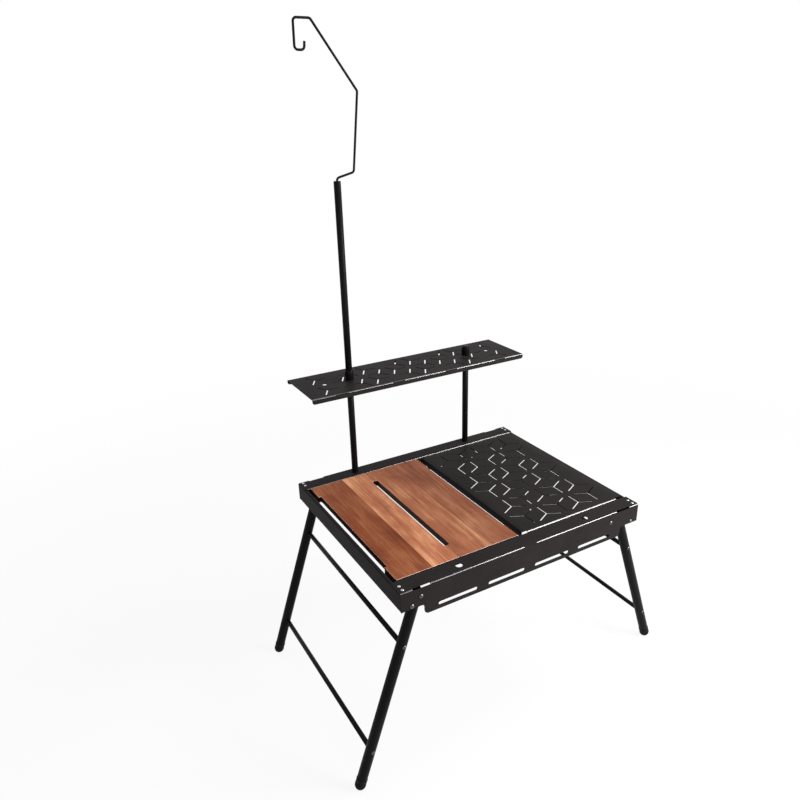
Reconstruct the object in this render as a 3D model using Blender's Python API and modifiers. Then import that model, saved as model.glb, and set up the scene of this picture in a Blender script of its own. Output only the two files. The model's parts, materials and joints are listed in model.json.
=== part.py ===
"""Folding camping table: a bent steel frame on two folding leg frames, with lift-out panels and a shelf tower.

All sizes are in metres. A place on the table is given by x, measured along the front from the left end,
y, measured back from the front face, and z, measured up from the top of the frame.
The origin lies on the floor, in the middle of the whole object's box.
"""
import math

import bmesh
import bpy
from mathutils import Matrix, Vector

MM = 0.001

# Clearances between pieces
GAP = 0.3 * MM
HOLE_PLAY = 0.3 * MM

# Frame
FRAME_LENGTH = 524 * MM
FRAME_DEPTH = 432 * MM
TABLE_HEIGHT = 391 * MM
SHEET = 1.5 * MM
BEND_INSIDE = 0.7 * MM
RAIL_FACE = 57.5 * MM
RAIL_CORNER_FACE = 37.4 * MM
RAIL_STEP_X = 44 * MM
RAIL_STEP_FILLET = 5 * MM
RAIL_STEP_CORNER = 8 * MM
RAIL_FLANGE = 35.2 * MM
LEDGE_WIDTH = 12 * MM
FACE_SLOT_COUNT = 4
FACE_SLOT_LENGTH = 78 * MM
FACE_SLOT_HEIGHT = 6.6 * MM
FACE_SLOT_PITCH = 101.4 * MM
FACE_SLOT_DROP = 47 * MM
RELIEF_START = 23 * MM
RELIEF_LENGTH = 33 * MM
RELIEF_WIDTH = 4 * MM
BEND_NICK = 1.1 * MM
BEND_NICK_LENGTH = 27 * MM
END_FLANGE = 6.3 * MM
END_TAB = 14 * MM
CORNER_RIVET_X = 8 * MM
CORNER_RIVET_INSETS = {"outer": 8 * MM, "inner": 19 * MM}
CORNER_RIVET_R = 1.6 * MM
CORNER_RIVET_HEAD_R = 2.9 * MM
CORNER_RIVET_HEAD = 1.3 * MM

# Panels
PANEL_START_X = 12 * MM
PANEL_THICKNESS = 12 * MM
PANEL_GAP = 0.6 * MM
PANEL_END_GAP = 0.8 * MM
WOOD_EDGE = 0.9 * MM
BOARD_CORNER_R = 1.5 * MM
NOTCH_LENGTH = 277 * MM
NOTCH_DEPTH = 5.2 * MM
PLATE_SIDE_NOTCH = 1.7 * MM
PLATE_SIDE_GAP = 10.7 * MM
PLATE_END_GAP = 1.2 * MM
PLATE_CORNER = 5 * MM
PLATE_CORNER_LENGTH = {"left": 11 * MM, "right": 15.5 * MM}
PLATE_COLUMNS = 5
PLATE_COLUMN_PITCH = 39.5 * MM
PLATE_ROW_PITCH = 113 * MM
PLATE_STEM = 36 * MM
PLATE_STEM_WEB = 7 * MM
PLATE_ARM_WEB = 15 * MM
SLIT_WIDTH = 2.6 * MM

# Leg frames. The left frame is the outer one, and the right frame folds up under it.
TUBE_R = 9.5 * MM
TUBE_WALL = 1.2 * MM
TUBE_END_R = 9.8 * MM
LEFT_TUBE_INSET = 13.6 * MM
FRAME_NEST_GAP = 1.6 * MM
LEFT_PIVOT_X = 37.8 * MM
LEFT_PIVOT_DROP = 18.4 * MM
LEFT_SPLAY = math.radians(18.8)
RIGHT_PIVOT_END_X = 17.5 * MM
RIGHT_PIVOT_DROP = 33.2 * MM
RIGHT_SPLAY = math.radians(20.1)
ROD_R = 4.5 * MM
UPPER_ROD_DROP = {"left": 112 * MM, "right": 121.5 * MM}
LOWER_ROD_DROP = 311 * MM
CAP_R = 10.4 * MM
CAP_SLEEVE = 13 * MM

# Rivets, screws and sleeves
PIVOT_RIVET_R = 2.5 * MM
PIVOT_WASHER_R = 6.5 * MM
PIVOT_SLEEVE_R = 5.5 * MM
STOP_RIVET_R = 2.2 * MM
LEFT_STOP_PIN_R = 2.5 * MM
FOLD_STOP_PIN_R = 4.4 * MM
RIVET_DOME_R = 4.2 * MM
RIVET_DOME = 2.5 * MM
RIVET_CLENCH_R = 4 * MM
RIVET_CLENCH = 2.5 * MM
LEFT_STOP_DROP = 31.5 * MM
FOLD_STOP_END_X = 70.5 * MM
ROD_SCREW_R = 2 * MM
ROD_SCREW_HEAD_R = 3.6 * MM
ROD_SCREW_HEAD = 1.8 * MM
ROD_SCREW_GRIP = 12 * MM

# Shelf tower
SOCKET_INSET = 17 * MM
SOCKET_HALF_SPACING = 140 * MM
SOCKET_BORE_R = 6.3 * MM
SOCKET_RING_R = 9 * MM
SOCKET_RING = 5.7 * MM
POLE_R = 6.6 * MM
SPIGOT_R = 6 * MM
SHELF_HEIGHT = 208.5 * MM
SHELF_LENGTH = 494 * MM
SHELF_DEPTH = 130 * MM
SHELF_LIP = 10 * MM
SHELF_LIP_CORNER = 5 * MM
SHELF_NICK_COUNT = 4
HANG_HOLE_R = 4.5 * MM
HANG_HOLE_SPACING = 54 * MM
SHELF_CELL = 36.7 * MM
SHELF_ARM_WEB = 12 * MM
SHELF_HOLE_MARGIN = 17 * MM
STUD_R = 4 * MM
STUD_LENGTH = 9 * MM
SHELF_NUT_R = 8.6 * MM
SHELF_NUT = 20.5 * MM
UPPER_POLE_TOP = 586 * MM
HOOK_R = 2.1 * MM
HOOK_SOCKET = 30 * MM
HOOK_BEND_R = 6 * MM
HOOK_CORNERS = (
    (0, 5 * MM),
    (34 * MM, 13.5 * MM),
    (48.5 * MM, 146 * MM),
    (-30.5 * MM, 254 * MM),
    (-60 * MM, 254 * MM),
    (-61 * MM, 207.5 * MM),
    (-44 * MM, 207.5 * MM),
    (-42.8 * MM, 220.5 * MM),
)

# Facets of round shapes
TUBE_SIDES = 20
FASTENER_SIDES = 10
BEND_STEPS = 3

# Finishes: colour, roughness, metallic
BLACK_COAT = ((0.035, 0.033, 0.033), 0.48, 0.0)
BLACK_TUBE = ((0.018, 0.017, 0.017), 0.38, 0.0)
BLACK_BOLT = ((0.03, 0.03, 0.03), 0.35, 0.6)
NYLON = ((0.04, 0.04, 0.04), 0.55, 0.0)
RUBBER = ((0.025, 0.025, 0.025), 0.75, 0.0)
LEFT_WOOD = ((0.46, 0.17, 0.075), 0.5, 0.0)
MIDDLE_WOOD = ((0.42, 0.16, 0.075), 0.5, 0.0)

# Values worked out from the sizes above
SHEET_OUTSIDE_BEND = BEND_INSIDE + SHEET
PANEL_UNIT = (FRAME_LENGTH - 2 * PANEL_START_X) / 4
PANEL_LENGTH = FRAME_DEPTH - 2 * (RAIL_FLANGE + PANEL_END_GAP)
LEDGE_DROP = PANEL_THICKNESS + GAP
CORNER_TAB_DEPTH = RAIL_FLANGE - SHEET_OUTSIDE_BEND - GAP
END_RAIL_DROP = SHEET + GAP
SOCKET_X = (FRAME_LENGTH / 2 - SOCKET_HALF_SPACING, FRAME_LENGTH / 2 + SOCKET_HALF_SPACING)
HANG_HOLE_X = (SOCKET_X[0] - HANG_HOLE_SPACING, SOCKET_X[1] + HANG_HOLE_SPACING)
POLE_Y = FRAME_DEPTH - SOCKET_INSET
RIGHT_TUBE_INSET = LEFT_TUBE_INSET + 2 * TUBE_R + FRAME_NEST_GAP
RIGHT_PIVOT_X = FRAME_LENGTH - RIGHT_PIVOT_END_X
LEFT_LEG = (TABLE_HEIGHT - LEFT_PIVOT_DROP - CAP_R) / math.cos(LEFT_SPLAY)
RIGHT_LEG = (TABLE_HEIGHT - RIGHT_PIVOT_DROP - CAP_R) / math.cos(RIGHT_SPLAY)
LEFT_FOOT_X = LEFT_PIVOT_X - LEFT_LEG * math.sin(LEFT_SPLAY)
RIGHT_FOOT_X = RIGHT_PIVOT_X + RIGHT_LEG * math.sin(RIGHT_SPLAY)
LEFT_STOP_X = (
    LEFT_PIVOT_X
    - (LEFT_STOP_DROP - LEFT_PIVOT_DROP) * math.tan(LEFT_SPLAY)
    - (TUBE_R + LEFT_STOP_PIN_R + GAP) / math.cos(LEFT_SPLAY)
)
RIGHT_LEG_SIDE_X = (
    RIGHT_PIVOT_X
    + (RAIL_CORNER_FACE - RIGHT_PIVOT_DROP) * math.tan(RIGHT_SPLAY)
    + TUBE_R / math.cos(RIGHT_SPLAY)
)
END_LIP = FRAME_LENGTH - RIGHT_LEG_SIDE_X - GAP / math.cos(RIGHT_SPLAY)
FOLD_STOP_X = FRAME_LENGTH - FOLD_STOP_END_X
FOLD_STOP_DROP = RIGHT_PIVOT_DROP - TUBE_R - GAP - FOLD_STOP_PIN_R
SHELF_X = (FRAME_LENGTH - SHELF_LENGTH) / 2
SHELF_FRONT_Y = POLE_Y - SHELF_DEPTH / 2
DOME_REACH = RIVET_DOME + GAP
ORIGIN_X = (LEFT_FOOT_X - CAP_R + RIGHT_FOOT_X + CAP_R) / 2
ORIGIN_Y = (SHELF_FRONT_Y + SHELF_DEPTH - DOME_REACH) / 2


def place(x, y, z):
    """The world point for a place on the table."""
    return Vector((x - ORIGIN_X, y - ORIGIN_Y, TABLE_HEIGHT + z))


def rail_place(side, x, inset, z):
    """The world point at a distance in from the outer face of the front or rear rail."""
    return place(x, inset if side == "front" else FRAME_DEPTH - inset, z)


def new_collection(name):
    collection = bpy.data.collections.new(name)
    bpy.context.scene.collection.children.link(collection)
    return collection


def clear_scene():
    for item in list(bpy.data.objects):
        bpy.data.objects.remove(item, do_unlink=True)


clear_scene()
PARTS = new_collection("camping_table")
CUTTERS = new_collection("cutters")


def finish(piece, look):
    """Gives a piece its own material."""
    colour, roughness, metallic = look
    material = bpy.data.materials.new(piece.name + "_finish")
    material.use_nodes = True
    shader = material.node_tree.nodes["Principled BSDF"]
    shader.inputs["Base Color"].default_value = (*colour, 1)
    shader.inputs["Roughness"].default_value = roughness
    shader.inputs["Metallic"].default_value = metallic
    material.diffuse_color = (*colour, 1)
    piece.data.materials.clear()
    piece.data.materials.append(material)


def add_piece(name, mesh, look, parent=None, smooth=False):
    """Adds a named piece of the table, in its parent's frame if it has one."""
    piece = bpy.data.objects.new(name, mesh)
    PARTS.objects.link(piece)
    piece.parent = parent
    if smooth:
        mesh.shade_smooth()
        mesh.set_sharp_from_angle(angle=math.radians(35))
    finish(piece, look)
    return piece


def add_empty(name, location, turn_y=0.0, parent=None):
    """Adds an axis that carries moving pieces."""
    axis = bpy.data.objects.new(name, None)
    axis.empty_display_size = 30 * MM
    PARTS.objects.link(axis)
    axis.parent = parent
    axis.location = location
    axis.rotation_euler = (0, turn_y, 0)
    return axis


def mesh_from(bm, name):
    mesh = bpy.data.meshes.new(name)
    bm.to_mesh(mesh)
    bm.free()
    return mesh


def evaluated_mesh(item, name):
    """Turns a scratch object with its modifiers into a welded mesh and removes the object."""
    bpy.context.view_layer.update()
    depsgraph = bpy.context.evaluated_depsgraph_get()
    mesh = bpy.data.meshes.new_from_object(item.evaluated_get(depsgraph))
    mesh.name = name
    bpy.data.objects.remove(item, do_unlink=True)
    bm = bmesh.new()
    bm.from_mesh(mesh)
    bmesh.ops.remove_doubles(bm, verts=bm.verts, dist=0.001 * MM)
    bm.to_mesh(mesh)
    bm.free()
    return mesh


def rounded_path(corners, radii, steps, closed=False):
    """Replaces each inner corner of a line of 2D points with an arc. radii is one size or one per corner."""
    count = len(corners)
    if not hasattr(radii, "__len__"):
        radii = [radii] * count
    points = []
    for i, corner in enumerate(corners):
        here = Vector(corner)
        if radii[i] == 0 or (not closed and i in (0, count - 1)):
            points.append(here)
            continue
        before = (Vector(corners[i - 1]) - here).normalized()
        after = (Vector(corners[(i + 1) % count]) - here).normalized()
        half = before.angle(after) / 2
        centre = here + (before + after).normalized() * radii[i] / math.sin(half)
        first = here + before * radii[i] / math.tan(half) - centre
        sweep = math.pi - 2 * half
        if before.x * after.y - before.y * after.x > 0:
            sweep = -sweep
        for k in range(steps + 1):
            turn = sweep * k / steps
            cos, sin = math.cos(turn), math.sin(turn)
            points.append(centre + Vector((first.x * cos - first.y * sin, first.x * sin + first.y * cos)))
    return points


def outline_mesh(name, outlines, thickness):
    """Fills closed outlines, which lie in the XY plane, to a flat body of a thickness centred on the plane."""
    curve = bpy.data.curves.new(name, "CURVE")
    curve.dimensions = "2D"
    curve.fill_mode = "BOTH"
    curve.extrude = thickness / 2
    for outline in outlines:
        spline = curve.splines.new("POLY")
        spline.points.add(len(outline) - 1)
        for point, (x, y) in zip(spline.points, outline):
            point.co = (x, y, 0, 1)
        spline.use_cyclic_u = True
    item = bpy.data.objects.new(name, curve)
    bpy.context.scene.collection.objects.link(item)
    return evaluated_mesh(item, name)


def turned_mesh(name, profile, sides, ring=False):
    """Turns a profile of (radius, height) points, which runs down its outer side, about the Z axis."""
    bm = bmesh.new()
    verts = [bm.verts.new((r, 0, z)) for r, z in profile]
    for a, b in zip(verts, verts[1:]):
        bm.edges.new((a, b))
    if ring:
        bm.edges.new((verts[-1], verts[0]))
    item = bpy.data.objects.new(name, mesh_from(bm, name))
    bpy.context.scene.collection.objects.link(item)
    screw = item.modifiers.new("turn", "SCREW")
    screw.steps = screw.render_steps = sides
    screw.use_merge_vertices = True
    screw.merge_threshold = 0.001 * MM
    return evaluated_mesh(item, name)


def ring_profile(outer, inner, top, bottom):
    """The profile of a sleeve, washer or tube."""
    return [(outer, top), (outer, bottom), (inner, bottom), (inner, top)]


def add_copies(mesh, placings, look, parent=None):
    """Adds a piece for each name and matrix, all with the same shape."""
    for name, matrix in placings.items():
        piece = add_piece(name, mesh.copy(), look, parent, smooth=True)
        piece.data.name = name
        piece.matrix_local = matrix
    bpy.data.meshes.remove(mesh)


def add_box(bm, corner, opposite):
    """Adds a box between two corners."""
    size = [abs(b - a) for a, b in zip(corner, opposite)]
    centre = (Vector(corner) + Vector(opposite)) / 2
    matrix = Matrix.Translation(centre) @ Matrix.Diagonal((*size, 1))
    bmesh.ops.create_cube(bm, size=1, matrix=matrix)


def add_cylinder(bm, centre, direction, radius, length, sides=16):
    """Adds a cylinder that is centred on a point and lies along a direction."""
    turn = Vector(direction).to_track_quat("Z", "Y").to_matrix().to_4x4()
    matrix = Matrix.Translation(centre) @ turn
    bmesh.ops.create_cone(
        bm, cap_ends=True, segments=sides, radius1=radius, radius2=radius, depth=length, matrix=matrix
    )


def add_outline(bm, outlines, thickness, matrix):
    """Adds flat bodies, whose outlines lie in the matrix's XY plane."""
    mesh = outline_mesh("outline", outlines, thickness)
    mesh.transform(matrix)
    bm.from_mesh(mesh)
    bpy.data.meshes.remove(mesh)


def add_cutter(name, bm, parent=None):
    """Keeps a cutting body in view as a wire, left out of the render."""
    cutter = bpy.data.objects.new(name, mesh_from(bm, name))
    CUTTERS.objects.link(cutter)
    cutter.parent = parent
    cutter.display_type = "WIRE"
    cutter.hide_render = True
    return cutter


def cut(piece, cutter):
    boolean = piece.modifiers.new(cutter.name, "BOOLEAN")
    boolean.operation = "DIFFERENCE"
    boolean.solver = "EXACT"
    boolean.object = cutter


def bent_sheet(name, corners, start, across, along, length):
    """Bends a strip along corners of (across, up), whose left side is the sheet's outer side."""
    turns = [0.0]
    for a, b, c in zip(corners, corners[1:], corners[2:]):
        turn = (b[0] - a[0]) * (c[1] - b[1]) - (b[1] - a[1]) * (c[0] - b[0])
        turns.append(BEND_INSIDE if turn > 0 else SHEET_OUTSIDE_BEND)
    turns.append(0.0)
    path = rounded_path(corners, turns, BEND_STEPS)
    near = [start + across * p.x + Vector((0, 0, p.y)) for p in path]
    bm = bmesh.new()
    rows = [[bm.verts.new(spot + along * shift) for spot in near] for shift in (0, length)]
    if Vector((0, 0, 1)).cross(along).dot(across) > 0:
        rows.reverse()
    first, last = rows
    for i in range(len(near) - 1):
        bm.faces.new((first[i], first[i + 1], last[i + 1], last[i]))
    return mesh_from(bm, name)


def add_sheet(name, mesh, look):
    piece = add_piece(name, mesh, look)
    solidify = piece.modifiers.new("sheet", "SOLIDIFY")
    solidify.thickness = SHEET
    solidify.offset = -1
    solidify.use_even_offset = True
    return piece


def obround(centre_x, centre_y, length, height):
    """A slot's outline with half-round ends."""
    half, radius = length / 2 - height / 2, height / 2
    points = []
    for k in range(7):
        turn = math.radians(-90 + 30 * k)
        points.append((centre_x + half + radius * math.cos(turn), centre_y + radius * math.sin(turn)))
    return points + [(2 * centre_x - x, 2 * centre_y - y) for x, y in points]


def y_slit(centre_x, centre_y, arms):
    """The outline of a slit with three arms, each given by its direction and its length."""
    half = SLIT_WIDTH / 2
    arms = sorted(arms)
    points = []
    for i, (turn, reach) in enumerate(arms):
        along = Vector((math.cos(turn), math.sin(turn)))
        side = Vector((-along.y, along.x))
        tip = along * (reach - half)
        points.append(tip - side * half)
        points.append(tip + along * half - side * half * 0.4)
        points.append(tip + along * half + side * half * 0.4)
        points.append(tip + side * half)
        crotch = (arms[(i + 1) % 3][0] - turn) % math.tau
        between = turn + crotch / 2
        points.append(Vector((math.cos(between), math.sin(between))) * half / math.sin(crotch / 2))
    return [(centre_x + p.x, centre_y + p.y) for p in points]


def outward_matrix(side, x, drop, inset=0.0):
    """Stands a turned shape on a rail's outer face, with its top pointing out of the table."""
    tilt = Matrix.Rotation(math.radians(90 if side == "front" else -90), 4, "X")
    return Matrix.Translation(rail_place(side, x, inset, -drop)) @ tilt


def domed_profile(radius, length, head_r, head, below=()):
    """A fastener through the origin plane: a domed head above it, a shank and what follows below it."""
    return [
        (0, GAP + head),
        (head_r * 0.6, GAP + head),
        (head_r, GAP + head * 0.5),
        (head_r, GAP),
        (radius, GAP),
        (radius, -length),
        *below,
        (0, below[-1][1] if below else -length),
    ]


def clench(depth, radius, length):
    """The formed end of a rivet, or the thick pin that follows its shank."""
    return ((radius, -depth), (radius, -depth - length))


def add_rail_pair(name, profile, x, drop, look):
    """One fastener in the front rail and its twin in the rear rail. The name has a place for the side."""
    mesh = turned_mesh(name, profile, FASTENER_SIDES, ring=profile[0][0] > 0)
    placings = {name.format(side): outward_matrix(side, x, drop) for side in ("front", "rear")}
    add_copies(mesh, placings, look)


def rail_face_outline():
    """The waste below the rail's face: shallow at the corners, deep between the legs."""
    far = FRAME_LENGTH
    waste = RAIL_FACE + 10 * MM
    corners = [
        (-SHEET, -RAIL_CORNER_FACE),
        (RAIL_STEP_X, -RAIL_CORNER_FACE),
        (RAIL_STEP_X, -RAIL_FACE),
        (far - RAIL_STEP_X, -RAIL_FACE),
        (far - RAIL_STEP_X, -RAIL_CORNER_FACE),
        (far + SHEET, -RAIL_CORNER_FACE),
        (far + SHEET, -waste),
        (-SHEET, -waste),
    ]
    radii = [0, RAIL_STEP_FILLET, RAIL_STEP_CORNER, RAIL_STEP_CORNER, RAIL_STEP_FILLET, 0, 0, 0]
    return rounded_path(corners, radii, BEND_STEPS, closed=True)


def rail_cutter(side):
    """All that is cut out of one long rail."""
    bm = bmesh.new()
    face_plane = Matrix.Translation(rail_place(side, 0, SHEET / 2, 0)) @ Matrix.Rotation(math.pi / 2, 4, "X")
    first = FRAME_LENGTH / 2 - FACE_SLOT_PITCH * (FACE_SLOT_COUNT - 1) / 2
    slots = [
        obround(first + k * FACE_SLOT_PITCH, -FACE_SLOT_DROP, FACE_SLOT_LENGTH, FACE_SLOT_HEIGHT)
        for k in range(FACE_SLOT_COUNT)
    ]
    add_outline(bm, [rail_face_outline()] + slots, 4 * SHEET, face_plane)
    inward = rail_place(side, 0, 1, 0) - rail_place(side, 0, 0, 0)
    rivets = (
        (LEFT_PIVOT_X, LEFT_PIVOT_DROP, PIVOT_RIVET_R),
        (LEFT_STOP_X, LEFT_STOP_DROP, STOP_RIVET_R),
        (RIGHT_PIVOT_X, RIGHT_PIVOT_DROP, PIVOT_RIVET_R),
        (FOLD_STOP_X, FOLD_STOP_DROP, STOP_RIVET_R),
    )
    for x, drop, radius in rivets:
        add_cylinder(bm, rail_place(side, x, SHEET / 2, -drop), inward, radius + HOLE_PLAY, 4 * SHEET)
    for x in SOCKET_X:
        add_cylinder(bm, rail_place(side, x, SOCKET_INSET, -SHEET / 2), (0, 0, 1), SOCKET_BORE_R, 4 * SHEET, TUBE_SIDES)
    for x in (CORNER_RIVET_X, FRAME_LENGTH - CORNER_RIVET_X):
        for inset in CORNER_RIVET_INSETS.values():
            add_cylinder(bm, rail_place(side, x, inset, -SHEET / 2), (0, 0, 1), CORNER_RIVET_R + HOLE_PLAY, 4 * SHEET, FASTENER_SIDES)
    for x in (RELIEF_START, FRAME_LENGTH - RELIEF_START - RELIEF_LENGTH):
        add_box(
            bm, rail_place(side, x, -SHEET, SHEET), rail_place(side, x + RELIEF_LENGTH, RELIEF_WIDTH, -2 * SHEET)
        )
    middle = FRAME_LENGTH / 2
    add_box(
        bm,
        rail_place(side, middle - BEND_NICK_LENGTH / 2, -SHEET, SHEET),
        rail_place(side, middle + BEND_NICK_LENGTH / 2, BEND_NICK, -BEND_NICK),
    )
    clear = END_FLANGE + GAP
    for x, beyond in ((clear, -SHEET), (FRAME_LENGTH - clear, FRAME_LENGTH + SHEET)):
        add_box(
            bm,
            rail_place(side, x, CORNER_TAB_DEPTH, SHEET),
            rail_place(side, beyond, RAIL_FLANGE + LEDGE_WIDTH + SHEET, -LEDGE_DROP - 2 * SHEET),
        )
    return add_cutter(side + "_rail_cuts", bm)


def build_rails():
    """The long rails: a face, a top flange, a lip down and a ledge that carries the panels."""
    raw_face = RAIL_FACE + SHEET
    corners = [
        (0, -raw_face),
        (0, 0),
        (RAIL_FLANGE, 0),
        (RAIL_FLANGE, -LEDGE_DROP),
        (RAIL_FLANGE + LEDGE_WIDTH, -LEDGE_DROP),
    ]
    for side in ("front", "rear"):
        start = rail_place(side, 0, 0, 0)
        across = rail_place(side, 0, 1, 0) - start
        mesh = bent_sheet(side + "_rail", corners, start, across, Vector((1, 0, 0)), FRAME_LENGTH)
        rail = add_sheet(side + "_rail", mesh, BLACK_COAT)
        cut(rail, rail_cutter(side))


def build_end_rails():
    """The short rails: a face with a bottom lip, a narrow top flange and wide corner tabs."""
    corners = [(END_LIP, -RAIL_CORNER_FACE), (0, -RAIL_CORNER_FACE), (0, -END_RAIL_DROP), (END_TAB, -END_RAIL_DROP)]
    for side, outer_x, inward in (("left", 0, 1), ("right", FRAME_LENGTH, -1)):
        start = place(outer_x, END_RAIL_DROP, 0)
        length = FRAME_DEPTH - 2 * END_RAIL_DROP
        mesh = bent_sheet(side + "_end_rail", corners, start, Vector((inward, 0, 0)), Vector((0, 1, 0)), length)
        rail = add_sheet(side + "_end_rail", mesh, BLACK_COAT)
        bm = bmesh.new()
        add_box(
            bm,
            place(outer_x + inward * END_FLANGE, CORNER_TAB_DEPTH, SHEET),
            place(outer_x + inward * (END_TAB + SHEET), FRAME_DEPTH - CORNER_TAB_DEPTH, -END_RAIL_DROP - 2 * SHEET),
        )
        rivet_x = outer_x + inward * CORNER_RIVET_X
        for rail_side in ("front", "rear"):
            for inset in CORNER_RIVET_INSETS.values():
                centre = rail_place(rail_side, rivet_x, inset, -END_RAIL_DROP - SHEET / 2)
                add_cylinder(bm, centre, (0, 0, 1), CORNER_RIVET_R + HOLE_PLAY, 4 * SHEET, FASTENER_SIDES)
        cut(rail, add_cutter(side + "_end_rail_cuts", bm))


def build_corner_rivets():
    """Two rivets at each corner hold the long rails' flanges on the end rails' tabs."""
    grip = SHEET + END_RAIL_DROP + GAP
    head_r, head = CORNER_RIVET_HEAD_R, CORNER_RIVET_HEAD
    profile = domed_profile(CORNER_RIVET_R, grip, head_r, head, clench(grip, head_r, head))
    placings = {}
    for end, x in (("left", CORNER_RIVET_X), ("right", FRAME_LENGTH - CORNER_RIVET_X)):
        for side in ("front", "rear"):
            for label, inset in CORNER_RIVET_INSETS.items():
                spot = rail_place(side, x, inset, 0)
                placings[f"{end}_{side}_{label}_corner_rivet"] = Matrix.Translation(spot)
    add_copies(turned_mesh("corner_rivet", profile, FASTENER_SIDES), placings, BLACK_BOLT)


def build_socket_inserts():
    """Rings under the rear flange, which take the poles' spigots."""
    profile = ring_profile(SOCKET_RING_R, SOCKET_BORE_R, -SHEET - GAP, -SHEET - GAP - SOCKET_RING)
    placings = {}
    for end, x in zip(("left", "right"), SOCKET_X):
        placings[end + "_rear_socket_insert"] = Matrix.Translation(rail_place("rear", x, SOCKET_INSET, 0))
    add_copies(turned_mesh("socket_insert", profile, TUBE_SIDES, ring=True), placings, BLACK_BOLT)


def build_leg_fasteners():
    """The pivots of both leg frames, the left frame's stops and the right frame's folded rests."""
    inner_face = SHEET + GAP
    left_side = LEFT_TUBE_INSET + TUBE_R + GAP
    right_side = RIGHT_TUBE_INSET + TUBE_R + GAP
    left_pivot = (LEFT_PIVOT_X, LEFT_PIVOT_DROP)
    right_pivot = (RIGHT_PIVOT_X, RIGHT_PIVOT_DROP)
    bore = PIVOT_RIVET_R + HOLE_PLAY

    def rivets(name, spot, radius, grip, end_r, end_length):
        end = clench(grip, end_r, end_length)
        add_rail_pair(name, domed_profile(radius, grip, RIVET_DOME_R, RIVET_DOME, end), *spot, BLACK_BOLT)

    rivets("left_{}_pivot_rivet", left_pivot, PIVOT_RIVET_R, left_side, RIVET_CLENCH_R, RIVET_CLENCH)
    rivets("right_{}_pivot_rivet", right_pivot, PIVOT_RIVET_R, right_side, RIVET_CLENCH_R, RIVET_CLENCH)
    washer = ring_profile(PIVOT_WASHER_R, bore, -inner_face, GAP - LEFT_TUBE_INSET + TUBE_R)
    add_rail_pair("left_{}_pivot_washer", washer, *left_pivot, NYLON)
    sleeve = ring_profile(PIVOT_SLEEVE_R, bore, -inner_face, GAP - RIGHT_TUBE_INSET + TUBE_R)
    add_rail_pair("right_{}_pivot_sleeve", sleeve, *right_pivot, NYLON)

    left_stop = (LEFT_STOP_X, LEFT_STOP_DROP)
    fold_stop = (FOLD_STOP_X, FOLD_STOP_DROP)
    rivets("left_{}_leg_stop", left_stop, STOP_RIVET_R, inner_face, LEFT_STOP_PIN_R, left_side - inner_face)
    rivets("right_{}_fold_stop", fold_stop, STOP_RIVET_R, inner_face, FOLD_STOP_PIN_R, right_side - inner_face)


def cap_profile(leg, splay):
    """A cup over the tube's end with a ball-shaped tip, one of whose facets' corners meets the floor."""
    tip_steps = 5
    tilt = [splay + (math.pi / 2 - splay) * k / tip_steps for k in range(tip_steps + 1)]
    tip = [(CAP_R * math.sin(turn), -leg - CAP_R * math.cos(turn)) for turn in reversed(tilt)]
    inner = TUBE_R + GAP
    outside = [(CAP_R, CAP_SLEEVE - leg)] + tip + [(0, -leg - CAP_R)]
    return [(0, -leg), (inner, -leg), (inner, CAP_SLEEVE - leg)] + outside


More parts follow.
